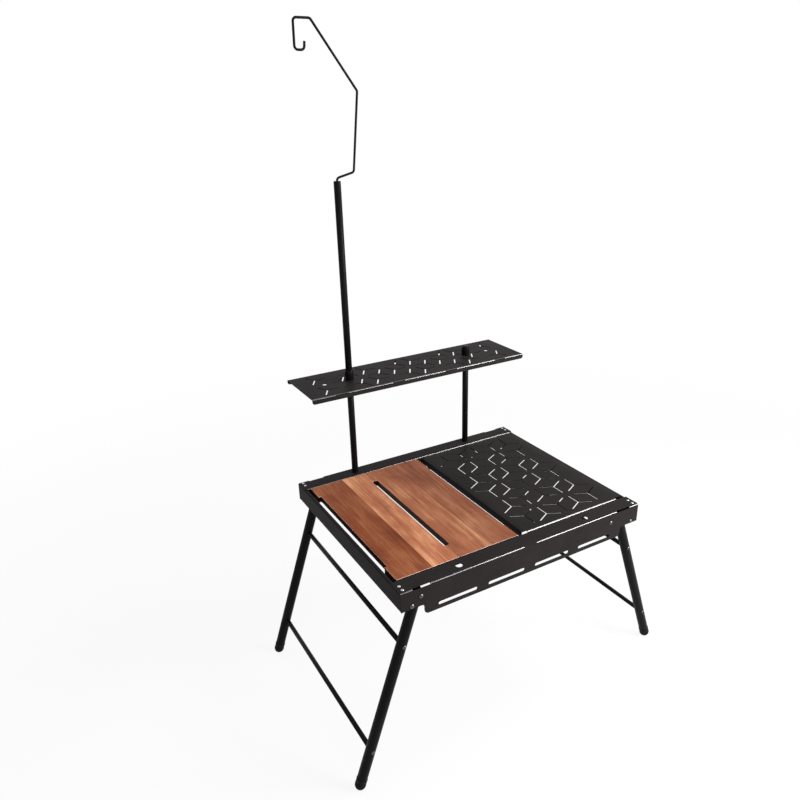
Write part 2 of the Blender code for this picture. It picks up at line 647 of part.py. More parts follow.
def build_leg_frame(side, pivot_x, pivot_drop, splay, leg, tube_inset):
    """Two tubes, two cross rods, their screws and two foot caps, all on the frame's pivot."""
    turn = splay if side == "left" else -splay
    pivot = add_empty(side + "_leg_frame", place(pivot_x, FRAME_DEPTH / 2, -pivot_drop), turn_y=turn)
    tube_y = FRAME_DEPTH / 2 - tube_inset
    rods = [(drop - pivot_drop) / math.cos(splay) for drop in (UPPER_ROD_DROP[side], LOWER_ROD_DROP)]
    tube = ring_profile(TUBE_R, TUBE_R - TUBE_WALL, TUBE_END_R + TUBE_R, GAP - leg)

    for end, y in (("front", -tube_y), ("rear", tube_y)):
        name = f"{side}_{end}_leg_tube"
        mesh = turned_mesh(name, tube, TUBE_SIDES, ring=True)
        mesh.transform(Matrix.Translation((0, y, 0)))
        piece = add_piece(name, mesh, BLACK_TUBE, pivot, smooth=True)
        bm = bmesh.new()
        add_cylinder(bm, (0, y, 0), (0, 1, 0), PIVOT_RIVET_R + HOLE_PLAY, 4 * TUBE_R, FASTENER_SIDES)
        for reach in rods:
            add_cylinder(bm, (0, y, -reach), (0, 1, 0), ROD_SCREW_R + HOLE_PLAY, 4 * TUBE_R, FASTENER_SIDES)
        cut(piece, add_cutter(name + "_holes", bm, pivot))
        cut(piece, tube_end_cutter(name, y, pivot))

        name = f"{side}_{end}_foot_cap"
        mesh = turned_mesh(name, cap_profile(leg, splay), TUBE_SIDES)
        mesh.transform(Matrix.Translation((0, y, 0)))
        add_piece(name, mesh, RUBBER, pivot, smooth=True)

    rod_half = tube_y - TUBE_R - GAP
    for label, reach in zip(("upper", "lower"), rods):
        name = f"{side}_{label}_cross_rod"
        bm = bmesh.new()
        add_cylinder(bm, (0, 0, -reach), (0, 1, 0), ROD_R, 2 * rod_half, 14)
        rod = add_piece(name, mesh_from(bm, name), BLACK_TUBE, pivot, smooth=True)
        bm = bmesh.new()
        depth = ROD_SCREW_GRIP + GAP
        for end in (-1, 1):
            add_cylinder(
                bm, (0, end * rod_half, -reach), (0, 1, 0), ROD_SCREW_R + HOLE_PLAY, 2 * depth, FASTENER_SIDES
            )
        cut(rod, add_cutter(name + "_bores", bm, pivot))

    screw_length = 2 * TUBE_R + GAP + ROD_SCREW_GRIP
    profile = domed_profile(ROD_SCREW_R, screw_length, ROD_SCREW_HEAD_R, ROD_SCREW_HEAD)
    placings = {}
    for label, reach in zip(("upper", "lower"), rods):
        for end, facing in (("front", -1), ("rear", 1)):
            seat = Matrix.Translation((0, facing * (tube_y + TUBE_R), -reach))
            outward = Matrix.Rotation(math.radians(-90 * facing), 4, "X")
            placings[f"{side}_{end}_{label}_rod_screw"] = seat @ outward
    add_copies(turned_mesh(side + "_rod_screw", profile, FASTENER_SIDES), placings, BLACK_BOLT, pivot)


def tube_end_cutter(name, y, pivot):
    """Rounds the tube's upper end about the pivot, seen from the side."""
    half = 2 * TUBE_R
    top = TUBE_END_R + 2 * TUBE_R
    steps = 10
    arc = [
        (TUBE_END_R * math.cos(math.pi * k / steps), TUBE_END_R * math.sin(math.pi * k / steps))
        for k in range(steps + 1)
    ]
    outline = [(half, top), (-half, top), (-half, 0)] + list(reversed(arc)) + [(half, 0)]
    bm = bmesh.new()
    plane = Matrix.Translation((0, y, 0)) @ Matrix.Rotation(math.pi / 2, 4, "X")
    add_outline(bm, [outline], 4 * TUBE_R, plane)
    return add_cutter(name + "_end", bm, pivot)


def build_wood_panels():
    """Two half-unit boards with long finger notches in both long edges, shallower beside the plate."""
    width, length = PANEL_UNIT - PANEL_GAP, PANEL_LENGTH
    low, high = (length - NOTCH_LENGTH) / 2, (length + NOTCH_LENGTH) / 2
    boards = (
        (0, "left_wood_panel", LEFT_WOOD, NOTCH_DEPTH),
        (1, "middle_wood_panel", MIDDLE_WOOD, PLATE_SIDE_NOTCH),
    )
    for unit, name, look, right_depth in boards:
        corners = [
            (width, 0),
            (width, low),
            (width - right_depth, low),
            (width - right_depth, high),
            (width, high),
            (width, length),
            (0, length),
            (0, high),
            (NOTCH_DEPTH, high),
            (NOTCH_DEPTH, low),
            (0, low),
            (0, 0),
        ]
        radii = []
        for depth in (right_depth, NOTCH_DEPTH):
            notch_r = 0.42 * depth
            radii += [BOARD_CORNER_R, notch_r * 0.5, notch_r, notch_r, notch_r * 0.5, BOARD_CORNER_R]
        outline = rounded_path(corners, radii, 2, closed=True)
        mesh = outline_mesh(name, [outline], PANEL_THICKNESS)
        bottom_corner = place(
            PANEL_START_X + unit * PANEL_UNIT + PANEL_GAP / 2, RAIL_FLANGE + PANEL_END_GAP, -PANEL_THICKNESS / 2
        )
        panel = add_piece(name, mesh, look)
        panel.location = bottom_corner
        bevel = panel.modifiers.new("eased_edges", "BEVEL")
        bevel.width = WOOD_EDGE
        bevel.segments = 1
        bevel.limit_method = "ANGLE"
        bevel.angle_limit = math.radians(60)


def plate_slits():
    """Three-armed slits, which draw stacked cubes over the plate."""
    centre_x = PLATE_SLITS_X
    centre_y = FRAME_DEPTH / 2
    rise = PLATE_ROW_PITCH / 2 - PLATE_STEM
    arm_turn = math.atan2(rise, PLATE_COLUMN_PITCH)
    arm = math.hypot(rise, PLATE_COLUMN_PITCH) - PLATE_ARM_WEB
    stem = PLATE_STEM - PLATE_STEM_WEB
    up, down = math.radians(90), math.radians(270)
    rising = [(up, stem), (math.pi + arm_turn, arm), (math.tau - arm_turn, arm)]
    falling = [(down, stem), (arm_turn, arm), (math.pi - arm_turn, arm)]
    slits = []
    for column in range(PLATE_COLUMNS):
        offset = column - (PLATE_COLUMNS - 1) / 2
        x = centre_x + offset * PLATE_COLUMN_PITCH
        odd = column % 2 == 1
        stars = (-1, 0, 1) if odd else (-1.5, -0.5, 0.5, 1.5)
        for row in stars:
            y = centre_y + row * PLATE_ROW_PITCH
            if row != stars[0] or odd:
                slits.append(y_slit(x, y - PLATE_STEM, rising))
            if row != stars[-1] or odd:
                slits.append(y_slit(x, y + PLATE_STEM, falling))
    return slits


PLATE_LEFT_X = PANEL_START_X + 2 * PANEL_UNIT + PLATE_SIDE_GAP
PLATE_RIGHT_X = FRAME_LENGTH - END_FLANGE - PLATE_END_GAP
PLATE_SLITS_X = PANEL_START_X + 3 * PANEL_UNIT + 5.2 * MM


def build_steel_plate():
    """A full-unit plate with its four edges turned down and its corners cut away."""
    near = RAIL_FLANGE + PANEL_END_GAP
    low = place(PLATE_LEFT_X, near, -PANEL_THICKNESS)
    high = place(PLATE_RIGHT_X, FRAME_DEPTH - near, 0)
    bm = bmesh.new()
    add_box(bm, low, high)
    bm.faces.ensure_lookup_table()
    bottom = [face for face in bm.faces if face.normal.z < -0.5]
    bmesh.ops.delete(bm, geom=bottom, context="FACES_ONLY")
    top_edges = [edge for edge in bm.edges if all(abs(v.co.z - high.z) < GAP / 10 for v in edge.verts)]
    bmesh.ops.bevel(
        bm, geom=top_edges, offset=SHEET_OUTSIDE_BEND, segments=BEND_STEPS, profile=0.5, affect="EDGES"
    )
    plate = add_sheet("right_steel_plate", mesh_from(bm, "right_steel_plate"), BLACK_COAT)
    bm = bmesh.new()
    ends = ((PLATE_LEFT_X, PLATE_CORNER_LENGTH["left"]), (PLATE_RIGHT_X, -PLATE_CORNER_LENGTH["right"]))
    for x, reach in ends:
        for side in ("front", "rear"):
            add_box(
                bm,
                rail_place(side, x - math.copysign(SHEET, reach), near - SHEET, SHEET),
                rail_place(side, x + reach, near + PLATE_CORNER, -PANEL_THICKNESS - SHEET),
            )
    add_outline(bm, plate_slits(), 4 * SHEET, Matrix.Translation(place(0, 0, -SHEET / 2)))
    cut(plate, add_cutter("right_steel_plate_cuts", bm))


def shelf_slits():
    """The same stacked cubes as on the plate, turned a quarter and kept clear of the holes."""
    centre_x, centre_y = FRAME_LENGTH / 2, POLE_Y
    half, rise = SHELF_CELL / 2, SHELF_CELL * math.sin(math.radians(60))
    arm = SHELF_CELL - SHELF_ARM_WEB
    facing_right = [(math.radians(turn), arm) for turn in (0, 120, 240)]
    facing_left = [(math.radians(turn), arm) for turn in (60, 180, 300)]
    holes = SOCKET_X + HANG_HOLE_X
    slits = []
    for row in (-1, 0, 1):
        for k in range(-3, 4):
            star_x = centre_x + (k + 0.5 * (row % 2)) * 3 * SHELF_CELL
            for x, arms in ((star_x - 2 * half, facing_right), (star_x + 2 * half, facing_left)):
                inside = SHELF_X + half < x < SHELF_X + SHELF_LENGTH - half
                near_hole = row == 0 and any(abs(x - hole) < SHELF_HOLE_MARGIN for hole in holes)
                if inside and not near_hole:
                    slits.append(y_slit(x, centre_y + row * rise, arms))
    pole_margin = POLE_R + SHELF_ARM_WEB * 0.75
    slits.append(y_slit(SOCKET_X[0] - pole_margin, centre_y, facing_left))
    slits.append(y_slit(SOCKET_X[1] + pole_margin, centre_y, facing_right))
    return slits


def build_shelf():
    """The tower's shelf: a slit plate with its front and rear edges turned down."""
    corners = [(0, -SHELF_LIP), (0, 0), (SHELF_DEPTH, 0), (SHELF_DEPTH, -SHELF_LIP)]
    start = place(SHELF_X, SHELF_FRONT_Y, SHELF_HEIGHT)
    mesh = bent_sheet("tower_shelf", corners, start, Vector((0, 1, 0)), Vector((1, 0, 0)), SHELF_LENGTH)
    shelf = add_sheet("tower_shelf", mesh, BLACK_COAT)
    shelf.parent = TOWER
    shelf.matrix_parent_inverse = Matrix.Translation(-TOWER.location)
    bm = bmesh.new()
    for x in SOCKET_X:
        add_cylinder(bm, place(x, POLE_Y, SHELF_HEIGHT - SHEET / 2), (0, 0, 1), STUD_R + HOLE_PLAY, 4 * SHEET)
    for x in HANG_HOLE_X:
        add_cylinder(bm, place(x, POLE_Y, SHELF_HEIGHT - SHEET / 2), (0, 0, 1), HANG_HOLE_R, 4 * SHEET)
    add_outline(bm, shelf_slits(), 4 * SHEET, Matrix.Translation(place(0, 0, SHELF_HEIGHT - SHEET / 2)))
    for k in range(SHELF_NICK_COUNT):
        x = SHELF_X + SHELF_LENGTH * (k + 0.5) / SHELF_NICK_COUNT - BEND_NICK_LENGTH / 2
        for edge_y, inward in ((SHELF_FRONT_Y, 1), (SHELF_FRONT_Y + SHELF_DEPTH, -1)):
            add_box(
                bm,
                place(x, edge_y - inward * SHEET, SHELF_HEIGHT + SHEET),
                place(x + BEND_NICK_LENGTH, edge_y + inward * BEND_NICK, SHELF_HEIGHT - BEND_NICK),
            )
    lip_ends = []
    for end_x, inward in ((SHELF_X, 1), (SHELF_X + SHELF_LENGTH, -1)):
        lip_ends.append(shelf_lip_waste(end_x, inward))
    across_shelf = Matrix.Translation(place(0, POLE_Y, SHELF_HEIGHT)) @ Matrix.Rotation(math.pi / 2, 4, "X")
    add_outline(bm, lip_ends, SHELF_DEPTH + 4 * SHEET, across_shelf)
    cut(shelf, add_cutter("tower_shelf_cuts", bm))


def shelf_lip_waste(end_x, inward):
    """The waste at a lip's lower corner, which leaves the corner rounded."""
    corner = SHELF_LIP_CORNER
    outer_x, steps = end_x - inward * SHEET, 4
    points = [(outer_x, -SHELF_LIP - SHEET), (outer_x, corner - SHELF_LIP)]
    for k in range(steps + 1):
        turn = math.pi / 2 * k / steps
        points.append((end_x + inward * corner * (1 - math.cos(turn)), -SHELF_LIP + corner * (1 - math.sin(turn))))
    return points + [(end_x + inward * corner, -SHELF_LIP - SHEET)]


def build_lower_poles():
    """The poles stand in the rear sockets on a shoulder and carry the shelf on another."""
    top = SHELF_HEIGHT - SHEET - GAP
    stud_top = SHELF_HEIGHT + STUD_LENGTH
    profile = [
        (0, stud_top),
        (STUD_R, stud_top),
        (STUD_R, top),
        (POLE_R, top),
        (POLE_R, GAP),
        (SPIGOT_R, GAP),
        (SPIGOT_R, -SHEET - GAP - SOCKET_RING),
        (0, -SHEET - GAP - SOCKET_RING),
    ]
    for side, x in zip(("left", "right"), SOCKET_X):
        name = side + "_lower_pole"
        pole = add_piece(name, turned_mesh(name, profile, TUBE_SIDES), BLACK_TUBE, TOWER, smooth=True)
        pole.location = place(x, POLE_Y, 0) - TOWER.location


def build_shelf_nuts():
    """Tall round nuts, which clamp the shelf on the poles' studs."""
    bottom = SHELF_HEIGHT + GAP
    top = bottom + SHELF_NUT
    edge = 1 * MM
    bore = STUD_R + HOLE_PLAY
    through = [
        (SHELF_NUT_R - edge, top),
        (SHELF_NUT_R, top - edge),
        (SHELF_NUT_R, bottom),
        (bore, bottom),
        (bore, top),
    ]
    blind = [
        (0, top),
        (SHELF_NUT_R - edge, top),
        (SHELF_NUT_R, top - edge),
        (SHELF_NUT_R, bottom),
        (bore, bottom),
        (bore, bottom + STUD_LENGTH + GAP),
        (0, bottom + STUD_LENGTH + GAP),
    ]
    for side, x, profile in (("left", SOCKET_X[0], through), ("right", SOCKET_X[1], blind)):
        name = side + "_shelf_nut"
        mesh = turned_mesh(name, profile, TUBE_SIDES, ring=profile[0][0] > 0)
        nut = add_piece(name, mesh, BLACK_BOLT, TOWER, smooth=True)
        nut.location = place(x, POLE_Y, 0) - TOWER.location


def build_upper_pole():
    """The upper pole screws into the left nut and has a socket for the hook in its top."""
    bottom = SHELF_HEIGHT + 2 * GAP + SHELF_NUT
    bore = HOOK_R + HOLE_PLAY
    profile = [
        (bore, UPPER_POLE_TOP),
        (POLE_R, UPPER_POLE_TOP),
        (POLE_R, bottom),
        (STUD_R, bottom),
        (STUD_R, bottom - STUD_LENGTH),
        (0, bottom - STUD_LENGTH),
    ]
    socket = [(0, UPPER_POLE_TOP - HOOK_SOCKET - GAP), (bore, UPPER_POLE_TOP - HOOK_SOCKET - GAP)]
    mesh = turned_mesh("upper_pole", socket + profile, TUBE_SIDES)
    pole = add_piece("upper_pole", mesh, BLACK_TUBE, UPPER, smooth=True)
    pole.location = (0, 0, 0)


def build_hook():
    """A bent wire, which turns in the upper pole's socket."""
    foot = (0, -HOOK_SOCKET)
    path = rounded_path([foot] + list(HOOK_CORNERS), HOOK_BEND_R, 4)
    curve = bpy.data.curves.new("lantern_hook", "CURVE")
    curve.dimensions = "3D"
    curve.bevel_depth = HOOK_R
    curve.bevel_resolution = 2
    curve.use_fill_caps = True
    spline = curve.splines.new("POLY")
    spline.points.add(len(path) - 1)
    for point, spot in zip(spline.points, path):
        point.co = (spot.x, 0, spot.y, 1)
    item = bpy.data.objects.new("lantern_hook", curve)
    bpy.context.scene.collection.objects.link(item)
    hook = add_piece("lantern_hook", evaluated_mesh(item, "lantern_hook"), BLACK_TUBE, UPPER, smooth=True)
    hook.location = (0, 0, UPPER_POLE_TOP)


TOWER = add_empty("shelf_tower", place(FRAME_LENGTH / 2, POLE_Y, 0))
UPPER = add_empty("lantern_pole", place(SOCKET_X[0], POLE_Y, 0) - TOWER.location, parent=TOWER)

build_rails()
build_end_rails()
build_corner_rivets()
build_socket_inserts()
build_leg_fasteners()
build_leg_frame("left", LEFT_PIVOT_X, LEFT_PIVOT_DROP, LEFT_SPLAY, LEFT_LEG, LEFT_TUBE_INSET)
build_leg_frame("right", RIGHT_PIVOT_X, RIGHT_PIVOT_DROP, RIGHT_SPLAY, RIGHT_LEG, RIGHT_TUBE_INSET)
build_wood_panels()
build_steel_plate()
build_lower_poles()
build_shelf()
build_shelf_nuts()
build_upper_pole()
build_hook()
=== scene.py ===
"""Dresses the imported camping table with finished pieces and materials, and sets its stage and camera."""

import json
import math
from contextlib import contextmanager
from itertools import product
from typing import NamedTuple

import bpy
from bpy.props import FloatProperty, FloatVectorProperty, IntProperty, PointerProperty
from mathutils import Matrix, Vector

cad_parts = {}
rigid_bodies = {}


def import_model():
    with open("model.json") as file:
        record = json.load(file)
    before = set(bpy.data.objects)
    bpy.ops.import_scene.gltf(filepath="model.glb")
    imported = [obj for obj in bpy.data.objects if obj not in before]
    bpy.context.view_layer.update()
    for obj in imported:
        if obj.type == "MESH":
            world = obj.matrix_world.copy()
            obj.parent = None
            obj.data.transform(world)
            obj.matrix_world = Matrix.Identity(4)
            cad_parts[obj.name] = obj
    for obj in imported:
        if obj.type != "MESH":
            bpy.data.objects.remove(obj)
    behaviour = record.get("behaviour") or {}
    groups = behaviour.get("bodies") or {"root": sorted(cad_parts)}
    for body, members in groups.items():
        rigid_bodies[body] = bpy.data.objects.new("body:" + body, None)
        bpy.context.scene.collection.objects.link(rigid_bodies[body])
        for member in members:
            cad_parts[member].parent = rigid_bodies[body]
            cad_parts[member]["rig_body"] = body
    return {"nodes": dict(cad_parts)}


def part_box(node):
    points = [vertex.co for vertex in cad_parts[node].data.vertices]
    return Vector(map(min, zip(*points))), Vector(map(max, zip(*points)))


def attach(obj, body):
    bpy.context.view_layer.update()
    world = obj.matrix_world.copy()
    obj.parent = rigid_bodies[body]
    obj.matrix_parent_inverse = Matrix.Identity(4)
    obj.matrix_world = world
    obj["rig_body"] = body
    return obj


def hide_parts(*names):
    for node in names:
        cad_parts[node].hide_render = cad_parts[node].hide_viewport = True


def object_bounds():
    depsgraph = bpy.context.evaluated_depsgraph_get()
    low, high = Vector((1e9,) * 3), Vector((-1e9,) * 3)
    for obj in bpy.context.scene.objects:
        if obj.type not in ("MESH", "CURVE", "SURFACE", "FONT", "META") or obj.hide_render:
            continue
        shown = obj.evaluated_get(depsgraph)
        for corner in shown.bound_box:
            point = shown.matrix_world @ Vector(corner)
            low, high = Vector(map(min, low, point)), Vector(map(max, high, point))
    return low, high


bl_info = {
    "name": "Modular camping table",
    "version": (1, 0, 0),
    "blender": (4, 5, 0),
    "location": "View3D > Sidebar > Camping Table",
    "description": "Finished pieces, materials, stage and camera for the packed camping table",
    "category": "Object",
}

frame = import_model()
CAD_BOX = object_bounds()
MM = 0.001
ENDS = ("front", "rear")
SIDES = ("left", "right")
LEVELS = ("upper", "lower")
OUTWARD = {"front": -1, "rear": 1}
WHITE = (1.0, 1.0, 1.0, 1.0)

# Sizes that the finished pieces share with the solids
GAP = 0.3 * MM
SHEET = 1.5 * MM
WELD = 0.002 * MM
CAP_BORE_R = 9.8 * MM
STOP_GRIP = 1.8 * MM
STOP_PIN_R = {"leg_stop": 2.5 * MM, "fold_stop": 4.4 * MM}
CORNER_RIVET_TAIL = 1.2 * MM
SCREW_SOCKET_DEPTH = 2.0 * MM
SPIGOT_R = 6.0 * MM
STUD_R = 4.0 * MM
TIP_TAPER = 0.6 * MM
NUT_BORE_R = 4.3 * MM
BLIND_BORE = 9.3 * MM
HOOK_SOCKET_R = 2.4 * MM
HOOK_SOCKET = 30.3 * MM
HOOK_CORNERS = (
    (0, -30), (0, 5), (34, 13.5), (48.5, 146), (-30.5, 254), (-60, 254), (-61, 207.5), (-44, 207.5), (-42.8, 220.5)
)

# Facets of round shapes
FASTENER_SIDES = 32
RIVET_SIDES = 36
TUBE_END_SIDES = 64
DOME_STEPS = 7
BALL_STEPS = 13
HOOK_BEND_STEPS = 10

# How far a bend's face turns to the front, at least, where it gets the bright metal of the painted highlight
RAIL_HIGHLIGHT_TURN = 0.4
PLATE_HIGHLIGHT_TURN = 0.2

# The camera and the lamps
CAMERA_PLACE = Vector((-0.69943, -1.04217, 1.08879))
CAMERA_FORWARD = Vector((0.46190212, 0.79061599, -0.40196118))
CAMERA_UP = Vector((0.21954845, 0.33717853, 0.915483))
CAMERA_SHIFT = (-0.02645, 0.02583)
LIGHT_AIM = (0.0, 0.0, 0.4)
SOFTBOXES = (
    ("key_softbox", (1.05, -1.3, 0.95), 0.8, "key_light"),
    ("top_softbox", (0.9, -0.25, 1.8), 0.5, "top_light"),
    ("fill_softbox", (-0.2, 1.8, 2.5), 1.4, "fill_light"),
)


class Finish(NamedTuple):
    """A coat: the name of its colour, its roughness, its orange peel and dust, and its gloss."""

    colour: str
    dullness: float
    peel_scale: float
    dust: float
    peel_depth: float
    gloss: float = 0.5
    index: float = 1.5
    metallic: float = 0.0


FINISHES = {
    "sheet_coat": Finish("coat", 0.46, 900.0, 0.03, 0.30, index=1.08),
    # Bright metal for the bends that face the key light: a painted highlight
    "rubbed_bend": Finish("bend", 0.30, 900.0, 0.0, 0.02, metallic=1.0),
    "tube_coat_black": Finish("tube", 0.36, 1300.0, 0.04, 0.22, index=1.14),
    "blackened_hardware": Finish("hardware", 0.20, 2200.0, 0.0, 0.02, index=1.8),
    "rivet_steel": Finish("rivet", 0.28, 2200.0, 0.0, 0.02, metallic=1.0),
    "black_nylon": Finish("nylon", 0.50, 1800.0, 0.03, 0.20, gloss=0.40),
    "foot_rubber_black": Finish("rubber", 0.60, 1500.0, 0.03, 0.30, index=1.15),
}


class BoardLook(NamedTuple):
    """A board's seam, the tints of its two staves, its dark streaks and its place in the grain."""

    seam_x: float
    tints: tuple
    heart: float
    offset: tuple


BOARD_LOOKS = {
    "left": BoardLook(-0.192, ((0.74, 0.61, 0.52), (1.42, 1.51, 1.52)), 0.70, (0.31, 0.17, 0.0)),
    "middle": BoardLook(-0.072, ((1.10, 1.15, 1.16), (0.82, 0.82, 0.86)), 0.60, (0.83, 0.46, 0.2)),
}
# How dark the boards' cut sides are made: a small share of the first stave's tint
CUT_SIDE_SHARE = 0.07


# Sizes and colours

def length_property(name, description, default):
    return FloatProperty(
        name=name,
        description=description,
        default=default,
        min=0.0,
        max=1.0,
        subtype="DISTANCE",
        unit="LENGTH",
        precision=5,
    )


def colour_property(name, description, default):
    return FloatVectorProperty(
        name=name, description=description, default=default, min=0.0, max=1.0, size=3, subtype="COLOR"
    )


def power_property(name, description, default):
    return FloatProperty(
        name=name, description=description, default=default, min=0.0, max=500.0, subtype="POWER", unit="POWER"
    )


class TableSizes(bpy.types.PropertyGroup):
    """Sizes of the edges, walls and heads that the finished pieces add to the solids."""

    sheet_edge: length_property("Sheet edge", "Rounding of the cut edges of the steel sheets", 0.15 * MM)
    wood_edge: length_property("Wood edge", "Extra rounding beside the boards' eased edges", 0.3 * MM)
    tube_wall: length_property("Tube wall", "Wall of the leg tubes", 1.2 * MM)
    tube_end: length_property("Tube end", "Radius of the leg tubes' rounded upper end", 9.8 * MM)
    cap_sleeve: length_property("Cap sleeve", "How far a foot cap reaches up its tube", 13 * MM)
    rivet_shank: length_property("Rivet shank", "Radius of the pivot rivets' shank", 2.5 * MM)
    rivet_tail: length_property("Rivet tail", "Radius of the pivot rivets' formed inner end", 4 * MM)
    rivet_tail_length: length_property("Rivet tail length", "Length of the pivot rivets' formed inner end", 2.5 * MM)
    stop_shank: length_property("Stop shank", "Radius of the stop rivets' shank", 2.2 * MM)
    rivet_head: length_property("Rivet head", "Radius of the rail rivets' domed heads", 4.2 * MM)
    rivet_dome: length_property("Rivet dome", "Height of the rail rivets' domed heads", 2.5 * MM)
    screw_head: length_property("Screw head", "Height of the rod screws' heads", 1.8 * MM)
    screw_shank: length_property("Screw shank", "Radius of the rod screws' shank", 2 * MM)
    screw_socket: length_property("Screw socket", "Radius of the hexagonal socket in the rod screws", 1.5 * MM)
    corner_shank: length_property("Corner rivet shank", "Radius of the corner rivets' shank", 1.6 * MM)
    corner_dome: length_property("Corner rivet dome", "Height of the corner rivets' heads", 1.3 * MM)
    hook_bend: length_property("Hook bend", "Radius of the hook wire's bends, at its middle", 6 * MM)
    round_sides: IntProperty(
        name="Round sides", description="Sides of the tubes and poles", default=48, min=12, max=96
    )


class TableColours(bpy.types.PropertyGroup):
    """Colours of the finishes, as linear values."""

    coat: colour_property("Sheet coat", "Powder coat of the steel sheets", (0.0205, 0.0176, 0.0178))
    # The bend colour is a painted highlight on the bends that face the key light
    bend: colour_property("Bend highlight", "Coat that is rubbed bright over the front bends", (0.190, 0.186, 0.184))
    tube: colour_property("Tube coat", "Coat of the tubes, poles and wire", (0.0070, 0.0066, 0.0068))
    hardware: colour_property("Hardware", "Blackened rivets and screws", (0.006, 0.006, 0.006))
    rivet: colour_property("Rivet", "Bare steel of the corner rivets", (0.420, 0.420, 0.425))
    nylon: colour_property("Nylon", "Washers and sleeves", (0.030, 0.030, 0.031))
    rubber: colour_property("Rubber", "Foot caps", (0.0080, 0.0078, 0.0077))
    wood_dark: colour_property("Wood, dark", "Darkest streaks of the acacia", (0.120, 0.036, 0.020))
    wood_middle: colour_property("Wood, middle", "Main colour of the acacia", (0.315, 0.106, 0.053))
    wood_light: colour_property("Wood, light", "Lightest figure of the acacia", (0.560, 0.262, 0.135))


class StageSettings(bpy.types.PropertyGroup):
    """The floor, the light and the camera."""

    floor_colour: colour_property("Floor", "Pale floor and background", (0.93, 0.93, 0.93))
    floor_glow: FloatProperty(
        name="Floor glow",
        description="Share of plain white that the camera sees on the floor, over its shadows",
        default=0.90,
        min=0.0,
        max=1.0,
        subtype="FACTOR",
    )
    world_light: FloatProperty(
        name="World light", description="Strength of the even light from all round", default=0.32, min=0.0, max=2.0
    )
    key_light: power_property("Key light", "Main light from the front right", 41.0)
    top_light: power_property("Top light", "Soft light from above", 14.0)
    fill_light: power_property("Fill light", "Soft light from the rear", 11.0)
    focal_length: FloatProperty(
        name="Focal length", description="The camera's lens", default=31.716, min=10.0, max=200.0, unit="CAMERA"
    )


# Modelling helpers

def only(*pieces):
    """Leaves just these objects selected, the first one active, in object mode."""
    if bpy.context.object is not None and bpy.context.object.mode != "OBJECT":
        bpy.ops.object.mode_set(mode="OBJECT")
    bpy.ops.object.select_all(action="DESELECT")
    for piece in pieces:
        piece.select_set(True)
    bpy.context.view_layer.objects.active = pieces[0]


@contextmanager
def editing(piece, select="VERT"):
    """Edit mode on one object, which ends with nothing selected."""
    only(piece)
    bpy.ops.object.mode_set(mode="EDIT")
    bpy.ops.mesh.select_mode(type=select)
    yield
    bpy.ops.mesh.select_all(action="DESELECT")
    bpy.ops.mesh.select_mode(type="VERT")
    bpy.ops.object.mode_set(mode="OBJECT")


def settle(piece):
    """Puts an object's place, turn and scale into its mesh."""
    only(piece)
    bpy.ops.object.transform_apply(location=True, rotation=True, scale=True)


def add_modifier(piece, kind, **settings):
    """Adds a modifier, sets it and applies it."""
    modifier = piece.modifiers.new(kind.lower(), kind)
    for name, value in settings.items():
        setattr(modifier, name, value)
    only(piece)
    bpy.ops.object.modifier_apply(modifier=modifier.name)


def round_edges(piece, width, segments, degrees):
    """Rounds the edges that turn by more than an angle."""
    add_modifier(
        piece,
        "BEVEL",
        width=width,
        segments=segments,
        limit_method="ANGLE",
        angle_limit=math.radians(degrees),
        use_clamp_overlap=False,
    )


def cut(piece, tool, operation):
    """Cuts a piece with a second one, which is then removed."""
    add_modifier(piece, "BOOLEAN", operation=operation, solver="EXACT", object=tool)
    bpy.data.objects.remove(tool)
    if not piece.data.polygons:
        raise RuntimeError(piece.name + " is empty")


def smooth(piece, degrees=40):
    only(piece)
    bpy.ops.object.shade_smooth_by_angle(angle=math.radians(degrees))


def weigh_normals(piece):
    """Keeps flat faces flat beside their rounded edges."""
    add_modifier(piece, "WEIGHTED_NORMAL", mode="FACE_AREA_WITH_ANGLE", weight=80, keep_sharp=True)


def copy_piece(piece, name):
    """A copy with its own mesh, still to be placed."""
    twin = bpy.data.objects.new(name, piece.data.copy())
    twin.data.name = name
    bpy.context.scene.collection.objects.link(twin)
    return twin


def node_copy(name, node):
    """A copy of a CAD node's shape, with its loose triangles merged and its flat faces made whole."""
    piece = copy_piece(frame["nodes"][node], name)
    piece.data.materials.clear()
    with editing(piece):
        bpy.ops.mesh.select_all(action="SELECT")
        bpy.ops.mesh.remove_doubles(threshold=WELD)
        bpy.ops.mesh.dissolve_limited(angle_limit=math.radians(0.6), use_dissolve_boundaries=False)
    for face in piece.data.polygons:
        face.material_index = 0
    return piece


def turned(name, rings, sides, hollow=False):
    """Turns a round shape about Z: a circle is extruded and resized through rings of (radius, height)."""
    radius, height = rings[0]
    bpy.ops.object.select_all(action="DESELECT")
    bpy.ops.mesh.primitive_circle_add(vertices=sides, radius=radius, fill_type="NOTHING", location=(0, 0, height))
    piece = bpy.context.object
    piece.name = piece.data.name = name
    settle(piece)
    with editing(piece, "EDGE"):
        bpy.ops.mesh.select_all(action="SELECT")
        for next_radius, next_height in rings[1:]:
            bpy.ops.mesh.extrude_edges_move(TRANSFORM_OT_translate={"value": (0, 0, next_height - height)})
            scale = next_radius / radius
            if abs(scale - 1) > 1e-6:
                bpy.ops.transform.resize(value=(scale, scale, 1), center_override=(0, 0, next_height))
            radius, height = next_radius, next_height
        if hollow:
            bpy.ops.mesh.select_all(action="DESELECT")
            bpy.ops.mesh.select_non_manifold()
            bpy.ops.mesh.bridge_edge_loops()
        else:
            bpy.ops.mesh.select_all(action="SELECT")
            bpy.ops.mesh.fill_holes(sides=0)
        bpy.ops.mesh.select_all(action="SELECT")
        bpy.ops.mesh.normals_make_consistent(inside=False)
    return piece


